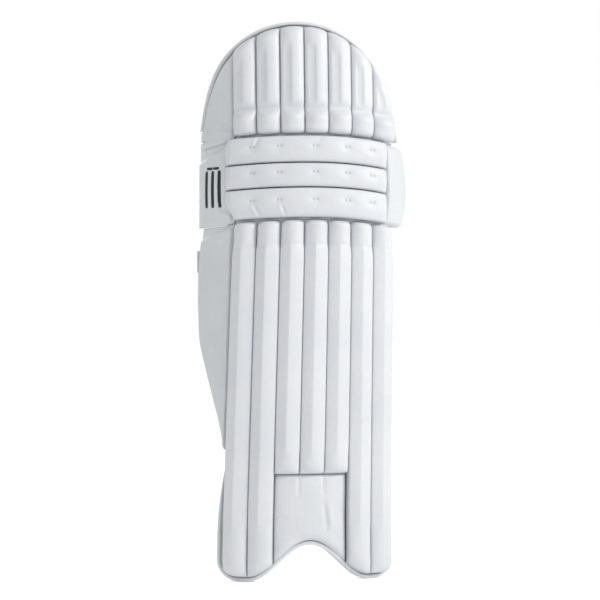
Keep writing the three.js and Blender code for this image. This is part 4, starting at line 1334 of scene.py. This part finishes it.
for side_name, left, right in (("outer", -BOLSTER_FAR, -BOLSTER_NEAR), ("inner", BOLSTER_NEAR, BOLSTER_FAR)):
    bolster = cushion(f"bolster_{side_name}", left, right, BOLSTER_LOW, BOLSTER_HIGH, BOLSTER_RISE, SHIN_RADIUS)
    add(stuff(bolster, SWELL_MOST), "shin", [f"shin_bolster_{side_name}"])
cup = cushion("knee_cup_cushion", -CUP_HALF, CUP_HALF, KNEE_LOW + CUP_MARGIN, KNEE_HIGH - CUP_MARGIN, BOLSTER_RISE,
              KNEE_RADIUS)
add(stuff(cup, SWELL_MOST), "knee", ["knee_cup"])
print("cushions stuffed:", 3)

# %% [markdown]
# ## Straps
# Three straps of woven webbing start at the inner panels, pass behind the leg and fasten on the outer side. Each
# is a flat band on edge that follows one smooth curve in the pad's cross-section. The band has a thin selvedge,
# and its flat coordinates run along its own length, so that the weave does too.

# %% Routes of the straps
STRAP_THICKNESS = 2.4
PATCH_THICKNESS = 1.4
STRAP_OFFSET = 2.6
TAPE_MARGIN = 3
loop_depth = wing_low - GAP
hook_depth = loop_depth - PATCH_THICKNESS - GAP
strap_depth = hook_depth - PATCH_THICKNESS - GAP - STRAP_THICKNESS / 2
on_lining = LINING_BACK - wing_low
BEHIND = ((-0.07, -34), (-0.34, -12), (-0.75, -1), (-1.22, -1), (-1.68, -12))
SWEEP_TO_WING = ((16, 46), (0, 21))
SWEEP_TO_LINING = ((-3, 69), (-9, 42), (-10, 22), (-6, 6))
WING_LANDING = (FRONT_HALF + 26, FRONT_HALF + 50, 0, SWEEP_TO_WING)
LINING_LANDING = (FRONT_HALF - 40, FRONT_HALF - 16, on_lining, SWEEP_TO_LINING)
STRAPS = {
    "knee": (474, 524, 150, KNEE_RADIUS, KNEE_WING_INNER, WING_LANDING, "knee"),
    "calf": (322, 368, 150, SHIN_RADIUS, INNER_WING_LENGTH, WING_LANDING, "inner_side"),
    "ankle": (168, 206, 138, SHIN_RADIUS, INNER_WING_LENGTH, LINING_LANDING, "inner_side"),
}


def section(s, d, inner_radius):
    """A point of the level cross-section, in flat millimetres: the knee's seam height has no lean or tilt."""
    point = (place(s, KNEE_BOTTOM, d, inner_radius) - ORIGIN) / MM
    return point[..., :2]


def strap_route(back, inner_radius, inner_end, landing):
    tip, tail, depth, sweep = landing
    start = section(FRONT_HALF + inner_end + STRAP_OFFSET, WING_MIDDLE, inner_radius)
    behind = [(start[0] + 1, start[1] + 8)] + [(start[0] * (1 + across), back + y) for across, y in BEHIND]
    landed = [section(-s, strap_depth + depth, inner_radius) for s in (tail + 4, tail - 3, (tip + tail) / 2, tip)]
    sweeping = [(landed[0][0] + x, landed[0][1] + y) for x, y in sweep]
    return smooth_curve([start, *behind, *sweeping, *landed], 900)


routes = {name: strap_route(back, inner_radius, inner_end, landing)
          for name, (_, _, back, inner_radius, inner_end, landing, _) in STRAPS.items()}
print("routes drawn:", list(routes))


# %% [markdown]
# A band is built from its middle line: the line is measured and stepped evenly, then offset to both sides by half
# the thickness. The thickness falls away in the last millimetre at each edge, which is the selvedge.

# %% Weave a band along a route
SELVEDGE = 1.3
RIBS = 14
RIB_HEIGHT = 0.08


def band(name, route, low, high, thickness, material, count=220):
    run = measured(route)
    at = np.linspace(0, run[-1], count)
    line = point_at(route, run, at)
    ahead = unit(np.gradient(line, axis=0))
    normal = np.stack([-ahead[:, 1], ahead[:, 0]], -1)
    z = lerp(low, high, shares(22, 0.7))
    half = thickness / 2 * (0.35 + 0.65 * rounded_end(np.minimum(z - low, high - z), SELVEDGE))
    ribs = RIB_HEIGHT * np.cos((z - low) / (high - low) * RIBS * np.pi)
    layers = []
    for side in (1, -1):
        offset = line[:, None] + normal[:, None] * (side * (half + ribs))[None, :, None]
        layers.append(settle(offset[..., 0], offset[..., 1], np.broadcast_to(z, offset.shape[:2])))
    return two_layers(name, layers, *grid(at, z), material), line, run[-1]


print("longest route:", round(max(measured(route)[-1] for route in routes.values())), "mm")


# %% [markdown]
# ## Strap roots, hook tape and loop tape
# Where a strap leaves its panel it swings, so a short strip of thinner webbing crosses the hinge; the strip stays
# where it is made, on neither body. The tapes are felt patches: loop tape on the pad, hook tape on the strap that
# lands on it.

# %% Make the straps, their roots and their tapes
ROOT_HALF = 9
ROOT_THICKNESS = 1.3
PILE = 0.25


def tape_patch(name, left, right, low, high, depth, inner_radius, body, stands_for):
    u, v = grid(shares(26, 0.4), shares(40, 0.4))
    s, z = lerp(left, right, u), lerp(low, high, v)
    pile = PILE * rounded_end(from_rim(s, z, left, right, low, high), 2) + waves(s, z, 5, 0.06, 51)
    piece = skin(name, s, z, depth, depth - PATCH_THICKNESS + PILE - pile, inner_radius, tape)
    add(piece, body, [stands_for])


for name, (low, high, _, radius, _, landing, parent) in STRAPS.items():
    strap, line, length = band(f"{name}_strap_webbing", routes[name], low, high, STRAP_THICKNESS, webbing)
    add(strap, f"strap_{name}", [f"{name}_strap"])
    print(name, "strap is", round(length), "mm long and", high - low, "wide")
    start, way = line[0], line[1] - line[0]
    way = way / np.linalg.norm(way)
    root_route = start + way * np.linspace(-ROOT_HALF, ROOT_HALF, 30)[:, None]
    root = band(f"{name}_strap_root", root_route, low + 1.5, high - 1.5, ROOT_THICKNESS, webbing, 30)[0]
    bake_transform(root)
    tip, tail, depth, _ = landing
    pad_body = {"knee": "knee", "calf": "calf_side", "ankle": "shin"}[name]
    for kind, at_depth, body in (("loop", loop_depth, pad_body), ("hook", hook_depth, f"strap_{name}")):
        tape_patch(f"{name}_{kind}_patch", -tail, -tip, low + TAPE_MARGIN, high - TAPE_MARGIN, at_depth + depth,
                   radius, body, f"{name}_{kind}_tape")

# %% [markdown]
# Each strap is fixed by a box of stitching at its root, as webbing is on bags and belts.

# %% Box stitching on the straps
BOX_START, BOX_END, BOX_MARGIN = 5, 23, 5
for name, (low, high, *_) in STRAPS.items():
    route, run = routes[name], measured(routes[name])
    bottom, top = low + BOX_MARGIN, high - BOX_MARGIN
    box_rows = []
    corners = ((BOX_START, bottom), (BOX_END, bottom), (BOX_END, top), (BOX_START, top), (BOX_START, bottom),
               (BOX_END, top))
    for (a0, z0), (a1, z1) in zip(corners[:-1], corners[1:]):
        at, z = np.linspace(a0, a1, 20), np.linspace(z0, z1, 20)
        point = point_at(route, run, at)
        way = unit(point_at(route, run, at + 1) - point)
        outside = point + np.stack([way[:, 1], -way[:, 0]], -1) * (STRAP_THICKNESS / 2 + 0.1)
        box_rows.append(settle(outside[:, 0], outside[:, 1], z))
    stitch_rows(f"{name}_strap_stitches", box_rows, f"strap_{name}", thread, 3.2, 2.3, 0.7)

# %% [markdown]
# ## Folds of leather at the joints
# Where the pad bends, the face leather runs on behind the seam as a loose fold. At rest it is hidden. It is there
# to close the gap that opens when the knee bends; it stays where it is made, on neither of the bodies beside it.

# %% Folds behind the bending seams
FOLD_HALF = 12


def fold(name, s_low, s_high, z_low, z_high, front, back, inner_radius):
    s, z = grid(lerp(s_low, s_high, shares(60)), lerp(z_low, z_high, shares(40)))
    # The seam number of 0.25 paints each fold darker, as shade behind the seam.
    piece = skin(name, s, z, front, back, inner_radius, face_leather, 0.25)
    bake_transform(piece)
    made.append(piece.name)


for joint_name, level, bodies in (("knee_flex", KNEE_BOTTOM, ("shin", "knee")),
                                  ("top_hat_flex", KNEE_TOP, ("knee", "top_hat"))):
    for suffix, front, back in (("_fold", 1.6, 0.4), ("_inner_fold", LINING_BACK + 1.8, LINING_BACK + 0.6)):
        fold(joint_name + suffix, 2 - FRONT_HALF, FRONT_HALF - 2, level - FOLD_HALF, level + FOLD_HALF, front, back,
             KNEE_RADIUS)

for side, joint_name, body, low in ((-1, "calf_wing_hinge", "calf_side", CALF_WING_BOTTOM),
                                    (1, "inner_wing_hinge", "inner_side", INNER_WING_BOTTOM)):
    first, last = sorted((side * (FRONT_HALF - 3), side * (FRONT_HALF + 9)))
    fold(joint_name + "_fold", first, last, low + 4, wing_top - 4, WING_MIDDLE + 0.8, WING_MIDDLE - 0.8, SHIN_RADIUS)
print("folds sewn:", [name for name in made if name.endswith("_fold")])

# %% [markdown]
# ## Side tab and printed mark
# A blank ribbon tab is folded into the calf panel's edge. The knee panel carries a small black print: a plain
# wicket, three stumps under two bails, as a generic mark for the game. The ink is a very thin skin that follows
# the leather below it, which is why the panel's own height formula is used again.

# %% Tab and wicket
tab_low, tab_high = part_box("side_tab")
TAB_TURN = math.radians(-20)
TAB_THICK = 0.0011
reach, turn = (tab_high - tab_low)[0], TAB_TURN
u, v = grid(shares(24), shares(20))
middle = (tab_low + tab_high) / 2
along = (u - 0.5) * reach / math.cos(turn) * 0.96
curl = 0.0012 * np.sin(np.pi * u) + 0.0003 * np.sin(5 * v)
upward = lerp(tab_low[2], tab_high[2], v)
layers = []
for depth in (-TAB_THICK / 2, TAB_THICK / 2):
    offset = curl + depth
    layers.append(np.stack([middle[0] + along * math.cos(turn) - offset * math.sin(turn),
                            middle[1] + along * math.sin(turn) + offset * math.cos(turn), upward], -1))
tab = two_layers("side_tab_ribbon", layers, along / MM, upward / MM, ribbon)
add(tab, "calf_side", ["side_tab"])

MARK_S, MARK_Z = -131, 489
STUMP_WIDTH, STUMP_HEIGHT, STUMP_STEP = 5, 46, 11
BAIL_LENGTH, BAIL_HEIGHT, BAIL_GAP = 10.0, 3.2, 1.4
INK_THICKNESS = 0.15
INK_ROOT = 0.3


def print_bar(name, s0, s1, z0, z1):
    u, v = grid(shares(10), shares(40))
    soften = 0.9 * (abs(2 * v - 1) ** 14)
    s = lerp(s0, s1, u) + soften * (0.5 - u) * 2
    z = lerp(z0, z1, v)
    lying = outer_skin(s, z)
    add(skin(name, s, z, lying + INK_THICKNESS, lying - INK_ROOT, KNEE_RADIUS, ink), "knee")


for k in (-1, 0, 1):
    s0 = MARK_S + k * STUMP_STEP - STUMP_WIDTH / 2
    print_bar(f"wicket_stump_{k + 2}", s0, s0 + STUMP_WIDTH, MARK_Z - STUMP_HEIGHT / 2, MARK_Z + STUMP_HEIGHT / 2)
for k in (0, 1):
    s0 = MARK_S + (k - 1) * STUMP_STEP + 0.5
    z0 = MARK_Z + STUMP_HEIGHT / 2 + BAIL_GAP
    print_bar(f"wicket_bail_{k + 1}", s0, s0 + BAIL_LENGTH, z0, z0 + BAIL_HEIGHT)
print("tab", round(float(reach) / MM), "mm long; mark of 3 stumps and 2 bails printed")

# %% [markdown]
# ## Canes
# The split canes keep their solid shapes, since those are right, and get the cane finish.

# %% Finish the canes
for name, part in frame["nodes"].items():
    if "_cane_" in name:
        part.data.materials.clear()
        part.data.materials.append(cane)
print("canes finished:", sum("_cane_" in name for name in frame["nodes"]))

# %% [markdown]
# ## Floor, light and camera
# A studio look for white leather needs a bright, even surround and one soft key light from the right, so that the
# flats that turn left fall into a light grey. The surround looks pure white but gives less light than that, or it
# would wash the seams out. The camera stands level and a little to the left.

# %% The studio
scene = bpy.context.scene
scene.view_settings.view_transform = "Standard"
SURROUND_LIGHT = 0.63
world = bpy.data.worlds.new("bright_surround")
scene.world = world
world.use_nodes = True
tree = world.node_tree
glow = tree.nodes["Background"]
glow.inputs["Color"].default_value = (0.955, 0.97, 1.0, 1)
glow.inputs["Strength"].default_value = SURROUND_LIGHT
plain = tree.nodes.new("ShaderNodeBackground")
plain.inputs["Color"].default_value = (1, 1, 1, 1)
plain.inputs["Strength"].default_value = 1.0
chooser = tree.nodes.new("ShaderNodeMixShader")
seen = tree.nodes.new("ShaderNodeLightPath")
tree.links.new(seen.outputs["Is Camera Ray"], chooser.inputs[0])
tree.links.new(glow.outputs[0], chooser.inputs[1])
tree.links.new(plain.outputs[0], chooser.inputs[2])
tree.links.new(chooser.outputs[0], tree.nodes["World Output"].inputs["Surface"])


def soft_light(name, power, size, at, towards, colour=(1, 1, 1)):
    lamp = bpy.data.lights.new(name, "AREA")
    lamp.energy = power
    lamp.size = size
    lamp.color = colour
    holder = bpy.data.objects.new(name, lamp)
    scene.collection.objects.link(holder)
    holder.location = at
    holder.rotation_euler = (Vector(towards) - Vector(at)).to_track_quat("-Z", "Y").to_euler()


middle = (0, 0, 0.36)
soft_light("key_light", 26, 0.8, (1.8, -1.35, 1.45), middle)
soft_light("low_fill", 1.5, 1.6, (-1.2, -2.2, 0.3), middle, (0.95, 0.98, 1.0))
soft_light("back_light", 9, 1.2, (-0.9, 1.9, 1.3), middle)

FLOOR_GLOW = 0.5
floor_material, floor_shader = start_material("pale_floor", Roughness=0.9, Specular_IOR_Level=0.1)
floor_shader.inputs["Base Color"].default_value = (0.95, 0.95, 0.95, 1)
floor_shader.inputs["Emission Color"].default_value = (1, 1, 1, 1)
bright = node(floor_material, "ShaderNodeLightPath").outputs["Is Camera Ray"]
glowing = arithmetic(floor_material, "MULTIPLY", bright, FLOOR_GLOW)
link(floor_material, glowing, floor_shader.inputs["Emission Strength"])
floor_mesh = bpy.data.meshes.new("floor")
FLOOR_HALF = 12
FLOOR_DROP = 0.0006
corners = [(-FLOOR_HALF, -FLOOR_HALF), (FLOOR_HALF, -FLOOR_HALF), (FLOOR_HALF, FLOOR_HALF), (-FLOOR_HALF, FLOOR_HALF)]
floor_mesh.from_pydata([(x, y, -FLOOR_DROP) for x, y in corners], [], [(0, 1, 2, 3)])
floor_mesh.materials.append(floor_material)
floor = bpy.data.objects.new("floor", floor_mesh)
scene.collection.objects.link(floor)
floor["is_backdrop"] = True

# %% [markdown]
# The camera looks level at the pad from about two metres, through a long lens, which keeps the top and the foot
# free of perspective lean.

# %% The camera
CAMERA_TURN = math.radians(-10)
CAMERA_DISTANCE = 2.057
CAMERA_HEIGHT = 0.3455
CAMERA_ASIDE = -0.0195
LENS = 100
camera_data = bpy.data.cameras.new("camera")
camera_data.lens = LENS
camera = bpy.data.objects.new("camera", camera_data)
scene.collection.objects.link(camera)
scene.camera = camera
backward = Vector((math.sin(CAMERA_TURN), -math.cos(CAMERA_TURN), 0))
rightward = Vector((math.cos(CAMERA_TURN), math.sin(CAMERA_TURN), 0))
middle_line = Vector((ORIGIN[0], ORIGIN[1], CAMERA_HEIGHT))
camera.location = middle_line + rightward * CAMERA_ASIDE + backward * CAMERA_DISTANCE
camera.rotation_mode = "QUATERNION"
camera.rotation_quaternion = (-backward).to_track_quat("-Z", "Y")
print("camera at", [round(c, 3) for c in camera.location])

# %% [markdown]
# ## The sizes
# The dressed pad is to keep to the solid model's box, so both boxes are printed side by side.

# %% Print the sizes
seen_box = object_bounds()
boxes = {"cad": [list(map(float, corner)) for corner in solid_box],
         "visual": [list(map(float, corner)) for corner in seen_box]}
print("pieces made:", len(made))
for label, corners in boxes.items():
    print(label, "box:", [[round(c, 4) for c in corner] for corner in corners])
